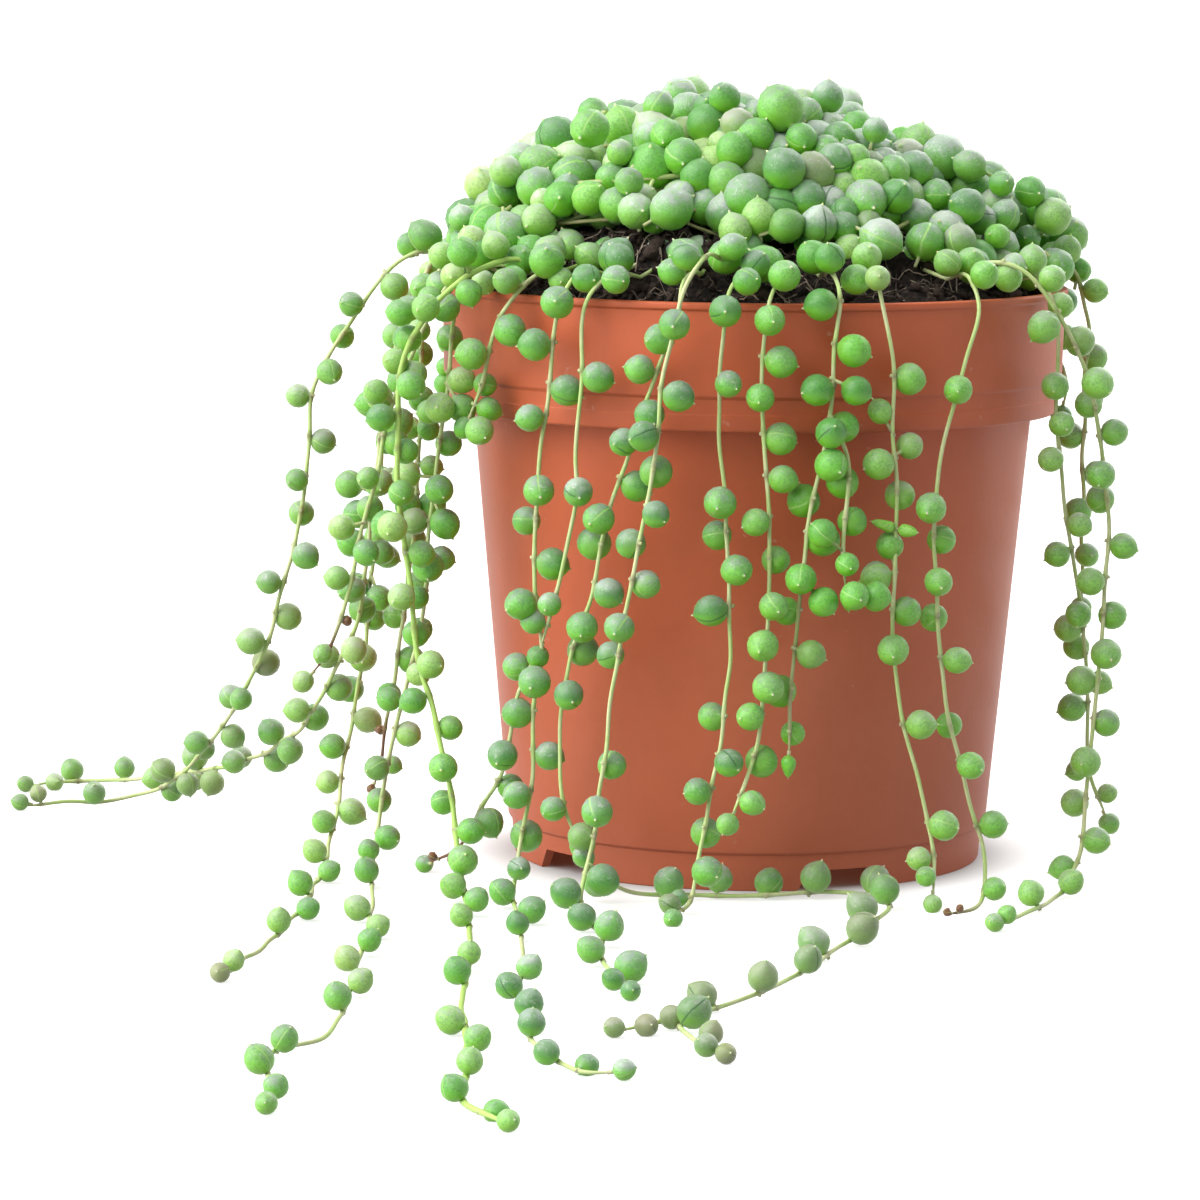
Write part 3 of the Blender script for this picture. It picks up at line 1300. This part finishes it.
def pot_outline():
    """The pot's section: up the outside, over the lip, down the inside and along the underside."""
    return rounded([
        [FOOT_INNER_RADIUS, 0, 0],
        [FOOT_RADIUS - 0.4, 0, 0.5],
        [FOOT_RADIUS + 0.25, FOOT_GROOVE - 0.5, 0.2],
        [FOOT_RADIUS + 0.25, FOOT_GROOVE - 0.1, 0.1],
        [BODY_FOOT_RADIUS, FOOT_GROOVE + 0.4, 0.4],
        [BODY_TOP_RADIUS, COLLAR_BOTTOM, 0.2],
        [RIM_RADIUS - 1.8, COLLAR_BOTTOM, 0.7],
        [RIM_RADIUS - 1.62, COLLAR_LINE - 0.1, 0.1],
        [RIM_RADIUS - 1.72, COLLAR_LINE + 0.1, 0.1],
        [RIM_RADIUS - 1.5, COLLAR_STEP - 0.2, 0.2],
        [RIM_RADIUS - 0.95, COLLAR_STEP + 0.4, 0.3],
        [RIM_RADIUS - LIP_REACH, POT_HEIGHT - LIP_HEIGHT - 0.1, 0.2],
        [RIM_RADIUS, POT_HEIGHT - LIP_HEIGHT + 0.3, 0.5],
        [RIM_RADIUS, POT_HEIGHT, 0.6],
        [MOUTH_RADIUS, POT_HEIGHT, 0.6],
        [MOUTH_RADIUS - 1.2, COLLAR_BOTTOM + 2.2, 0],
        [BODY_TOP_RADIUS - WALL, COLLAR_BOTTOM, 0],
        [BODY_FOOT_RADIUS - WALL, BASE_TOP, 0],
        [0.01, BASE_TOP, 0],
        [0.01, 0, 0],
        [CENTRE_PAD_RADIUS, 0, 0.3],
        [CENTRE_PAD_RADIUS, BASE_UNDERSIDE, 0],
        [FOOT_INNER_RADIUS, BASE_UNDERSIDE, 0],
        [FOOT_INNER_RADIUS, 0, 0],
    ])[:-1]


def add_pot(skin):
    outline = pot_outline()
    count = len(outline)
    points, faces = [], []
    for i in range(POT_SIDES):
        angle = i * 2 * math.pi / POT_SIDES
        following = (i + 1) % POT_SIDES
        points += [about_axis(angle, r, z) for r, z in outline]
        for k in range(count):
            n = (k + 1) % count
            faces.append((i * count + k, following * count + k, following * count + n, i * count + n))
    pot = placed("pot_fine", closed_mesh("pot_fine", points, faces))
    cutters = notch_and_hole_cutters()
    cut = pot.modifiers.new("cut", "BOOLEAN")
    cut.operation = "DIFFERENCE"
    cut.solver = "EXACT"
    cut.object = cutters
    bpy.context.view_layer.update()
    shown = pot.evaluated_get(bpy.context.evaluated_depsgraph_get())
    pot.data = bpy.data.meshes.new_from_object(shown)
    pot.modifiers.clear()
    bpy.data.objects.remove(cutters)
    pot.data.polygons.foreach_set("use_smooth", np.ones(len(pot.data.polygons), bool))
    pot.data.set_sharp_from_angle(angle=math.radians(SMOOTH_EDGE))
    pot.data.materials.clear()
    pot.data.materials.append(skin)
    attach(pot, "root")
    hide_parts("pot")


def notch_and_hole_cutters():
    """The foot's notches and the base's drain holes as one mesh of separate closed shapes."""
    points, faces = [], []
    half_bottom, half_top = NOTCH_WIDTH_BOTTOM / 2 + NOTCH_FLARE, NOTCH_WIDTH_TOP / 2
    section = [
        (half_bottom, -CUT_PAST),
        (half_top, NOTCH_HEIGHT),
        (-half_top, NOTCH_HEIGHT),
        (-half_bottom, -CUT_PAST),
    ]
    for i in range(FOOT_NOTCHES):
        azimuth = FIRST_NOTCH_AZIMUTH + i * 360 / FOOT_NOTCHES
        across, out = polar(azimuth + 90, 1, 0), polar(azimuth, 1, 0)
        a = len(points)
        for reach in (FOOT_INNER_RADIUS - NOTCH_PAST, FOOT_INNER_RADIUS + NOTCH_PAST):
            points += [out * reach + across * half + np.array([0, 0, z]) for half, z in section]
        faces += [(a, a + 1, a + 2, a + 3), (a + 7, a + 6, a + 5, a + 4)]
        faces += [(a + (k + 1) % 4, a + k, a + 4 + k, a + 4 + (k + 1) % 4) for k in range(4)]
    for i in range(DRAIN_HOLES):
        centre = polar(FIRST_NOTCH_AZIMUTH + (i + 0.5) * 360 / DRAIN_HOLES, DRAIN_CIRCLE, 0)
        low = [len(points) + k for k in range(DRAIN_SIDES)]
        high = [k + DRAIN_SIDES for k in low]
        for z in (1, BASE_TOP + CUT_PAST):
            points += [centre + polar(k * 360 / DRAIN_SIDES, DRAIN_RADIUS, z) for k in range(DRAIN_SIDES)]
        faces += [tuple(reversed(low)), tuple(high)]
        for k in range(DRAIN_SIDES):
            n = (k + 1) % DRAIN_SIDES
            faces.append((low[k], low[n], high[n], high[k]))
    return placed("cutters", closed_mesh("cutters", points, faces))


# The peat's surface, its heap under the crown's front (from an edge to a top radius, with a dip as
# [share, place, width]) and its unevenness: waves of a pitch, the coarser the higher
SOIL_ROWS = 44
SOIL_COLUMNS = 220
SOIL_RADIUS = MOUTH_RADIUS - 0.2
SOIL_SINK = 0.3
HEAP = 4.8
HEAP_EDGE = 54
HEAP_TOP = 44
HEAP_FRONT = 1.4
HEAP_DIP = (0.7, 8, 16)
SOIL_WAVES = 26
WAVE_PITCH = (0.25, 2.4)
WAVE_SIZE = 0.26
WAVE_SCALE = 1.3

# Crumbs and pale fibres, from a radius out to the wall
STREWN_FROM = 38
SOIL_CRUMBS = 1500
CRUMB_PROFILE = [(0.55, -0.8), (0.95, -0.3), (1.0, 0.35), (0.5, 0.85)]
CRUMB_SIDES = 6
CRUMB_SIZES = [0.45, 0.75, 1.15, 1.7]
CRUMB_SHARES = [0.4, 0.35, 0.19, 0.06]
CRUMB_WALL_GAP = 0.8
CRUMB_UNEVEN = 0.3
CRUMB_LIFT = 0.15
SOIL_FIBRES = 420
FIBRE_LENGTH = (4, 13)
FIBRE_STEPS = 8
FIBRE_CURL = 0.12
FIBRE_LIFT = 0.5
FIBRE_WAVE = 0.7
FIBRE_FREE = 1.5
FIBRE_RADIUS = (0.08, 0.18)
FIBRE_SIDES = 4
FIBRE_WALL_GAP = 0.4
FIBRE_PALE = 0.35


def heaped_height(place):
    """Height of the peat, heaped up a little under the crown's front."""
    reach = reach_of(place)
    share = within_one((HEAP_EDGE - reach) / (HEAP_EDGE - HEAP_TOP))
    frontness = within_one(HEAP_FRONT * -place[1] / max(1.0, reach))
    dip = 1 - hump(place[0], *HEAP_DIP)
    return soil_height(reach) + HEAP * dip * frontness * share * share * (3 - 2 * share)


def soil_waves(rng):
    waves = []
    for _ in range(SOIL_WAVES):
        pitch = rng.uniform(*WAVE_PITCH)
        angle = rng.uniform(0, 2 * math.pi)
        phase = rng.uniform(0, FULL_PHASE)
        waves.append((pitch * math.cos(angle), pitch * math.sin(angle), phase, WAVE_SIZE / (0.5 + pitch)))
    return waves


def soil_top(place, waves):
    """Height of the uneven peat."""
    x, y, _ = place
    lump = sum(size * math.sin(kx * x + ky * y + phase) for kx, ky, phase, size in waves)
    return heaped_height(place) + lump * WAVE_SCALE


def add_soil_body(gathered, waves):
    points = [np.array([0.0, 0.0, SOIL_PLATEAU_HEIGHT - 2])]
    azimuths = [j * 360 / SOIL_COLUMNS for j in range(SOIL_COLUMNS)]
    for i in range(1, SOIL_ROWS + 1):
        for azimuth in azimuths:
            place = polar(azimuth, SOIL_RADIUS * i / SOIL_ROWS, 0)
            place[2] = soil_top(place, waves) - SOIL_SINK
            points.append(place)
    skirt = ((BODY_TOP_RADIUS, COLLAR_BOTTOM), (BODY_FOOT_RADIUS, BASE_TOP + SOIL_GAP))
    for radius, z in skirt:
        points += [polar(azimuth, radius - WALL - SOIL_GAP, z) for azimuth in azimuths]
    points.append(np.array([0.0, 0.0, BASE_TOP + SOIL_GAP]))
    rows = SOIL_ROWS + len(skirt)
    quads, tris = closed_faces(rows, SOIL_COLUMNS, 0, len(points) - 1, first=1)
    gathered.add(np.array(points), quads, tris, 0.0, 0.0, ONLY_SKIN)


def add_crumbs(gathered, waves, rng):
    crumb = Surface(CRUMB_PROFILE, CRUMB_SIDES)
    for _ in range(SOIL_CRUMBS):
        radius = math.sqrt(rng.uniform(STREWN_FROM**2, (SOIL_RADIUS - CRUMB_WALL_GAP) ** 2))
        size = rng.choice(CRUMB_SIZES, p=CRUMB_SHARES)
        place = polar(rng.uniform(0, 360), min(radius, SOIL_RADIUS - size), 0)
        place[2] = soil_top(place, waves) + size * CRUMB_LIFT
        uneven = rng.normal(size=(len(crumb.points), 1)).clip(-1, 1)
        shape = crumb.points * (1 + CRUMB_UNEVEN * uneven)
        basis = frame_along(unit(rng.normal(size=3)), rng.uniform(0, FULL_PHASE))
        tone = [rng.random(), 0, 0]
        points = place + (shape * size) @ basis
        gathered.add(points, crumb.quads, crumb.tris, crumb.points, tone, ONLY_SKIN)


def add_fibres(gathered, waves, rng):
    for _ in range(SOIL_FIBRES):
        radius = math.sqrt(rng.uniform(STREWN_FROM**2, (SOIL_RADIUS - FIBRE_FREE) ** 2))
        place = polar(rng.uniform(0, 360), radius, 0)
        heading = rng.uniform(0, 2 * math.pi)
        curl = rng.normal() * FIBRE_CURL
        length = rng.uniform(*FIBRE_LENGTH)
        line = []
        for t in np.linspace(0, length, FIBRE_STEPS + 1):
            line.append(place.copy())
            heading += curl
            place = place + np.array([math.cos(heading), math.sin(heading), 0]) * length / FIBRE_STEPS
            place[:2] /= max(1.0, reach_of(place) / (SOIL_RADIUS - FIBRE_WALL_GAP))
            lift = FIBRE_LIFT * (1 + math.sin(t * FIBRE_WAVE))
            place[2] = soil_top(place, waves) + lift
        line = np.array(line)
        line[0][2] = line[1][2]
        pale = FIBRE_PALE + (1 - FIBRE_PALE) * rng.random() ** 2
        tones = np.tile([0.0, pale, 0.0], (len(line), 1))
        radii = np.full(len(line), rng.uniform(*FIBRE_RADIUS))
        add_tube(gathered, line, radii, FIBRE_SIDES, tones, ONLY_SKIN)


def add_soil(rng, skin):
    """The peat: an uneven top with crumbs and pale fibres, down to the floor of the pot."""
    waves = soil_waves(rng)
    gathered = Gathered()
    add_soil_body(gathered, waves)
    add_crumbs(gathered, waves, rng)
    add_fibres(gathered, waves, rng)
    piece = gathered.make("soil_fine", [skin])
    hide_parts("soil")


class Skin:
    """A procedural material, built node by node."""

    def __init__(self, name):
        self.material = bpy.data.materials.new(name)
        self.material.use_nodes = True
        self.tree = self.material.node_tree
        self.shader = self.tree.nodes["Principled BSDF"]

    def node(self, kind, **settings):
        made = self.tree.nodes.new(kind)
        for key, value in settings.items():
            setattr(made, key, value)
        return made

    def put(self, socket, value):
        """A value on a socket: another node's output, or a constant."""
        if isinstance(value, bpy.types.NodeSocket):
            self.tree.links.new(value, socket)
        else:
            socket.default_value = value

    def math(self, operation, first, second=0.0, clamp=False):
        made = self.node("ShaderNodeMath", operation=operation, use_clamp=clamp)
        self.put(made.inputs[0], first)
        self.put(made.inputs[1], second)
        return made.outputs[0]

    def times(self, first, second):
        return self.math("MULTIPLY", first, second)

    def plus(self, first, second):
        return self.math("ADD", first, second)

    def ramp(self, value, low, high):
        """0 below low, 1 above high, smooth between."""
        made = self.node("ShaderNodeMapRange", interpolation_type="SMOOTHSTEP")
        self.put(made.inputs["Value"], value)
        self.put(made.inputs["From Min"], low)
        self.put(made.inputs["From Max"], high)
        return made.outputs["Result"]

    def mix(self, share, first, second):
        made = self.node("ShaderNodeMix", data_type="RGBA")
        self.put(made.inputs[0], share)
        self.put(made.inputs[6], colour(first))
        self.put(made.inputs[7], colour(second))
        return made.outputs[2]

    def noise(self, scale, detail=3.0, roughness=0.55, distortion=0.0):
        made = self.node("ShaderNodeTexNoise")
        made.inputs["Scale"].default_value = scale
        made.inputs["Detail"].default_value = detail
        made.inputs["Roughness"].default_value = roughness
        made.inputs["Distortion"].default_value = distortion
        self.put(made.inputs["Vector"], self.position())
        return made.outputs["Fac"]

    def position(self):
        return self.node("ShaderNodeTexCoord").outputs["Object"]

    def parts(self, vector):
        made = self.node("ShaderNodeSeparateXYZ")
        self.put(made.inputs[0], vector)
        return made.outputs

    def attribute(self, name):
        made = self.node("ShaderNodeAttribute", attribute_name=name)
        return self.parts(made.outputs["Vector"])

    def bump(self, height, strength, distance):
        made = self.node("ShaderNodeBump")
        made.inputs["Strength"].default_value = strength
        made.inputs["Distance"].default_value = distance
        self.put(made.inputs["Height"], height)
        self.put(self.shader.inputs["Normal"], made.outputs["Normal"])

    def set(self, **values):
        """Values on the shader's own sockets."""
        for key, value in values.items():
            self.put(self.shader.inputs[key.replace("_", " ")], value)


def colour(value):
    """A socket as it is, or an sRGB triple of 0 to 255 as a linear colour."""
    if isinstance(value, bpy.types.NodeSocket):
        return value
    linear = []
    for channel in value:
        c = channel / 255
        linear.append(c / 12.92 if c <= 0.04045 else ((c + 0.055) / 1.055) ** 2.4)
    return (*linear, 1.0)


# Colours, sRGB from 0 to 255
TERRACOTTA = (193, 94, 58)
TERRACOTTA_CLOUD = (208, 116, 84)
TERRACOTTA_SPECK = (214, 170, 150)
TERRACOTTA_GRAIN = (170, 86, 58)
TERRACOTTA_FOOT = (156, 74, 46)
PEAT_DARK = (14, 11, 10)
PEAT = (60, 48, 42)
PEAT_CRUMB = (88, 72, 62)
PEAT_FIBRE = (176, 158, 142)
FLESH_OLD = (76, 144, 56)
FLESH_YOUNG = (116, 196, 64)
FLESH_LIGHT = (176, 210, 116)
FLESH_CELLS = (40, 106, 34)
UNDER = (118, 194, 26)
UNDER_LIGHT = (164, 208, 80)
NEAR_NECK = (120, 176, 44)
CHALK_THIN = (122, 146, 122)
CHALK_THICK = (172, 184, 172)
CHALK_LIGHT = (190, 204, 170)
POWDER = (216, 222, 210)
BLUSH_OLIVE = (134, 144, 100)
BLUSH_GREY = (150, 144, 114)
LEAF_DRIED = (122, 84, 58)
SLIT_OLD = (52, 94, 48)
SLIT_YOUNG = (156, 198, 112)
LEAF_TIP = (206, 210, 166)
LEAF_NECK = (178, 184, 132)
STEM_GREEN = (176, 200, 124)
STEM_PALE = (196, 202, 150)
STEM_BRIGHT = (172, 206, 108)
STEM_NODE = (92, 74, 50)
STEM_DRIED = (108, 76, 54)
HEART_DARK = (20, 15, 12)
HEART = (62, 50, 38)

# The floor's grey, and its glow from a radius about the axis (metres) outwards
FLOOR_GREY = (0.50, 0.50, 0.50, 1.0)
WHITE = (1.0, 1.0, 1.0, 1.0)
GLOW_FROM = 0.044
GLOW_FULL = 0.062
GLOW = 0.70


def pot_skin():
    skin = Skin("terracotta_plastic")
    cloudy = skin.noise(9, 3, 0.5)
    fine = skin.ramp(skin.noise(420, 2, 0.5), 0.3, 0.75)
    speck = skin.ramp(skin.noise(260, 2, 0.8), 0.70, 0.78)
    low = skin.ramp(skin.parts(skin.position())[2], 0.070, 0.0)
    base = skin.mix(skin.ramp(cloudy, 0.40, 0.68), TERRACOTTA, TERRACOTTA_CLOUD)
    base = skin.mix(skin.times(speck, 0.30), base, TERRACOTTA_SPECK)
    base = skin.mix(skin.times(fine, 0.10), base, TERRACOTTA_GRAIN)
    base = skin.mix(skin.times(low, 0.55), base, TERRACOTTA_FOOT)
    roughness = skin.plus(skin.times(cloudy, 0.16), 0.40)
    skin.set(Base_Color=base, Roughness=roughness, Specular_IOR_Level=0.27)
    skin.bump(skin.noise(700, 3, 0.6), 0.12, 0.0003)
    return skin.material


def soil_skin():
    skin = Skin("peat")
    tone = skin.attribute("leaf_tone")
    grain = skin.noise(900, 5, 0.7)
    base = skin.mix(skin.ramp(grain, 0.38, 0.68), PEAT_DARK, PEAT)
    base = skin.mix(skin.times(tone[0], 0.5), base, PEAT_CRUMB)
    base = skin.mix(skin.ramp(tone[1], 0.1, 1.0), base, PEAT_FIBRE)
    skin.set(Base_Color=base, Roughness=0.9, Specular_IOR_Level=0.25)
    skin.bump(skin.noise(1500, 5, 0.75), 0.9, 0.0008)
    return skin.material


def pearl_flesh(skin, young, light, axis, up):
    """The green flesh: fresher and lighter when young, mottled, glowing lime below and at the neck."""
    flesh = skin.mix(skin.ramp(young, 0.1, 0.95), FLESH_OLD, FLESH_YOUNG)
    flesh = skin.mix(light, flesh, FLESH_LIGHT)
    cells = skin.ramp(skin.noise(1900, 3, 0.75), 0.44, 0.62)
    flesh = skin.mix(skin.times(cells, 0.42), flesh, FLESH_CELLS)
    under = skin.mix(light, UNDER, UNDER_LIGHT)
    flesh = skin.mix(skin.ramp(up, 0.15, -0.75), flesh, under)
    return skin.mix(skin.times(skin.ramp(axis, -0.2, -0.95), 0.5), flesh, NEAR_NECK)


def pearl_bloom(skin, flesh, dusty, light, up):
    """The waxy bloom on the upper side: a patchy chalk with a fine white powder in it."""
    patchy = skin.plus(skin.times(skin.ramp(skin.noise(620, 4, 0.65), 0.34, 0.66), 0.8), 0.6)
    dust = skin.times(skin.plus(skin.times(skin.ramp(up, -0.2, 0.95), 0.85), 0.10), dusty)
    dust = skin.math("MULTIPLY", dust, patchy, clamp=True)
    chalky = skin.mix(skin.ramp(dusty, 0.9, 1.5), CHALK_THIN, CHALK_THICK)
    chalky = skin.mix(light, chalky, CHALK_LIGHT)
    bloom = skin.mix(dust, flesh, chalky)
    powder = skin.ramp(skin.noise(1000, 4, 0.75, 1.2), 0.55, 0.67)
    white = skin.times(skin.times(powder, dusty), 0.36)
    return skin.mix(skin.times(white, skin.ramp(up, -0.5, 0.5)), bloom, POWDER)


def pearl_slit(skin, side, front):
    """The translucent slit: a slightly wavy line down the front of the pearl."""
    wobble = skin.times(skin.math("SUBTRACT", skin.noise(260, 2), 0.5), 0.30)
    off_line = skin.math("ABSOLUTE", skin.plus(side, wobble))
    return skin.times(skin.ramp(off_line, 0.075, 0.025), skin.ramp(front, 0.15, 0.5))


def pearl_skin():
    skin = Skin("pearl_leaf")
    side, axis, front = skin.attribute("leaf_place")
    young, dusty, age = skin.attribute("leaf_tone")
    up = skin.parts(skin.node("ShaderNodeNewGeometry").outputs["Normal"])[2]
    light = skin.ramp(young, 0.8, 2.0)
    base = pearl_flesh(skin, young, light, axis, up)
    base = pearl_bloom(skin, base, dusty, light, up)
    blush = skin.mix(skin.ramp(skin.noise(45, 1), 0.44, 0.58), BLUSH_OLIVE, BLUSH_GREY)
    base = skin.mix(skin.ramp(age, 0.0, 0.8), base, blush)
    base = skin.mix(skin.ramp(age, 0.85, 1.0), base, LEAF_DRIED)
    line = pearl_slit(skin, side, front)
    slit = skin.mix(skin.ramp(young, 0.35, 0.45), SLIT_OLD, SLIT_YOUNG)
    base = skin.mix(skin.times(line, 0.8), base, slit)
    base = skin.mix(skin.ramp(axis, 1.01, 1.09), base, LEAF_TIP)
    base = skin.mix(skin.ramp(axis, -1.0, -1.12), base, LEAF_NECK)
    skin.set(Base_Color=base, Roughness=0.40, Specular_IOR_Level=0.40, Sheen_Weight=0.06)
    skin.set(Subsurface_Weight=0.38, Subsurface_Radius=(0.5, 1.0, 0.18), Subsurface_Scale=0.0022)
    skin.bump(skin.math("SUBTRACT", skin.noise(900, 3), skin.times(line, 1.2)), 0.22, 0.0003)
    return skin.material


def stem_skin():
    skin = Skin("stem")
    dried, at_node, bright = skin.attribute("leaf_tone")
    streak = skin.ramp(skin.noise(130, 3, 0.6), 0.38, 0.62)
    base = skin.mix(streak, STEM_GREEN, STEM_PALE)
    for share, tint in ((bright, STEM_BRIGHT), (at_node, STEM_NODE), (dried, STEM_DRIED)):
        base = skin.mix(share, base, tint)
    skin.set(Base_Color=base, Roughness=0.55, Specular_IOR_Level=0.35)
    skin.bump(skin.noise(800, 3), 0.3, 0.0004)
    return skin.material


def heart_skin():
    skin = Skin("crown_heart")
    grain = skin.ramp(skin.noise(300, 4, 0.7), 0.4, 0.7)
    skin.set(Base_Color=skin.mix(grain, HEART_DARK, HEART), Roughness=0.9)
    return skin.material


def floor_skin():
    """A white floor that also glows a little, so that it stays white in its soft shadows."""
    skin = Skin("floor_white")
    x, y, _ = skin.parts(skin.position())
    reach = skin.math("SQRT", skin.plus(skin.times(x, x), skin.times(y, y)))
    glow = skin.times(skin.ramp(reach, GLOW_FROM, GLOW_FULL), GLOW)
    skin.set(Base_Color=FLOOR_GREY, Roughness=0.9, Specular_IOR_Level=0.0)
    skin.set(Emission_Color=WHITE, Emission_Strength=glow)
    return skin.material


# The camera: its place in metres, its lens and sensor in millimetres, its turns in degrees
CAMERA_PLACE = (0.0, -1.037, 0.1823)
CAMERA_LENS = 150
CAMERA_SENSOR = 36
CAMERA_REACH = (0.05, 400)
CAMERA_YAW = -1.724
CAMERA_PITCH = 7.135
CAMERA_ROLL = 0.543
FLOOR_HALF = 80

# Soft studio light from all sides, and suns: strength, width, azimuth and elevation in degrees
STUDIO_STRENGTH = 0.41
SUNS = {
    "low_key": (2.3, 80, -84, 22),
    "soft_key": (2.3, 76, -58, 28),
    "high_key": (1.4, 70, -50, 64),
    "small_key": (0.3, 9, -42, 50),
    "rim": (1.7, 50, 152, 34),
    "side_fill": (0.6, 60, 116, 14),
}


def add_floor(skin):
    mesh = bpy.data.meshes.new("floor")
    h = FLOOR_HALF
    mesh.from_pydata([(-h, -h, 0), (h, -h, 0), (h, h, 0), (-h, h, 0)], [], [(0, 1, 2, 3)])
    mesh.materials.append(skin)
    floor = placed("floor", mesh)
    floor.visible_diffuse = False


def add_camera():
    yaw, pitch, roll = (math.radians(a) for a in (CAMERA_YAW, CAMERA_PITCH, CAMERA_ROLL))
    forward = Vector((math.sin(yaw) * math.cos(pitch), math.cos(yaw) * math.cos(pitch), -math.sin(pitch)))
    right = Vector((math.cos(yaw), -math.sin(yaw), 0))
    up = right.cross(forward)
    rolled_right = right * math.cos(roll) + up * math.sin(roll)
    rolled_up = up * math.cos(roll) - right * math.sin(roll)
    camera = placed("camera", bpy.data.cameras.new("camera"))
    camera.data.lens = CAMERA_LENS
    camera.data.sensor_width = CAMERA_SENSOR
    camera.data.clip_start, camera.data.clip_end = CAMERA_REACH
    turn = Matrix((rolled_right, rolled_up, -forward)).transposed()
    camera.matrix_world = Matrix.Translation(CAMERA_PLACE) @ turn.to_4x4()
    bpy.context.scene.camera = camera


def add_sun(name, strength, width, azimuth, elevation):
    """Light from an azimuth and elevation; its width softens the shadows."""
    light = bpy.data.lights.new(name, "SUN")
    light.energy = strength
    light.angle = math.radians(width)
    level = math.cos(math.radians(elevation))
    towards = -polar(azimuth, level, math.sin(math.radians(elevation)))
    placed(name, light).rotation_euler = Vector(towards).to_track_quat("-Z", "Y").to_euler()


def add_lights():
    world = bpy.data.worlds.new("studio")
    world.use_nodes = True
    background = world.node_tree.nodes["Background"]
    background.inputs["Color"].default_value = WHITE
    background.inputs["Strength"].default_value = STUDIO_STRENGTH
    bpy.context.scene.world = world
    for name, sun in SUNS.items():
        add_sun(name, *sun)
    bpy.context.scene.view_settings.view_transform = "Standard"


def build():
    rng = np.random.default_rng(SEED)
    add_back_strands()
    plans, occupied = lay_out_strands()
    leaf_skins = [pearl_skin(), stem_skin()]
    strand_pearl = pearl_surface(*STRAND_PEARL_DETAIL)
    crown_pearl = pearl_surface(*CROWN_PEARL_DETAIL)
    add_pot(pot_skin())
    add_soil(rng, soil_skin())
    add_crown_pearls(crown_pearl, rng, leaf_skins)
    add_crown_stems(rng, leaf_skins)
    add_core(heart_skin())
    for name in STRANDS:
        add_strand(name, plans[name], occupied, strand_pearl, rng, leaf_skins)
    add_floor(floor_skin())
    add_lights()
    add_camera()


build()
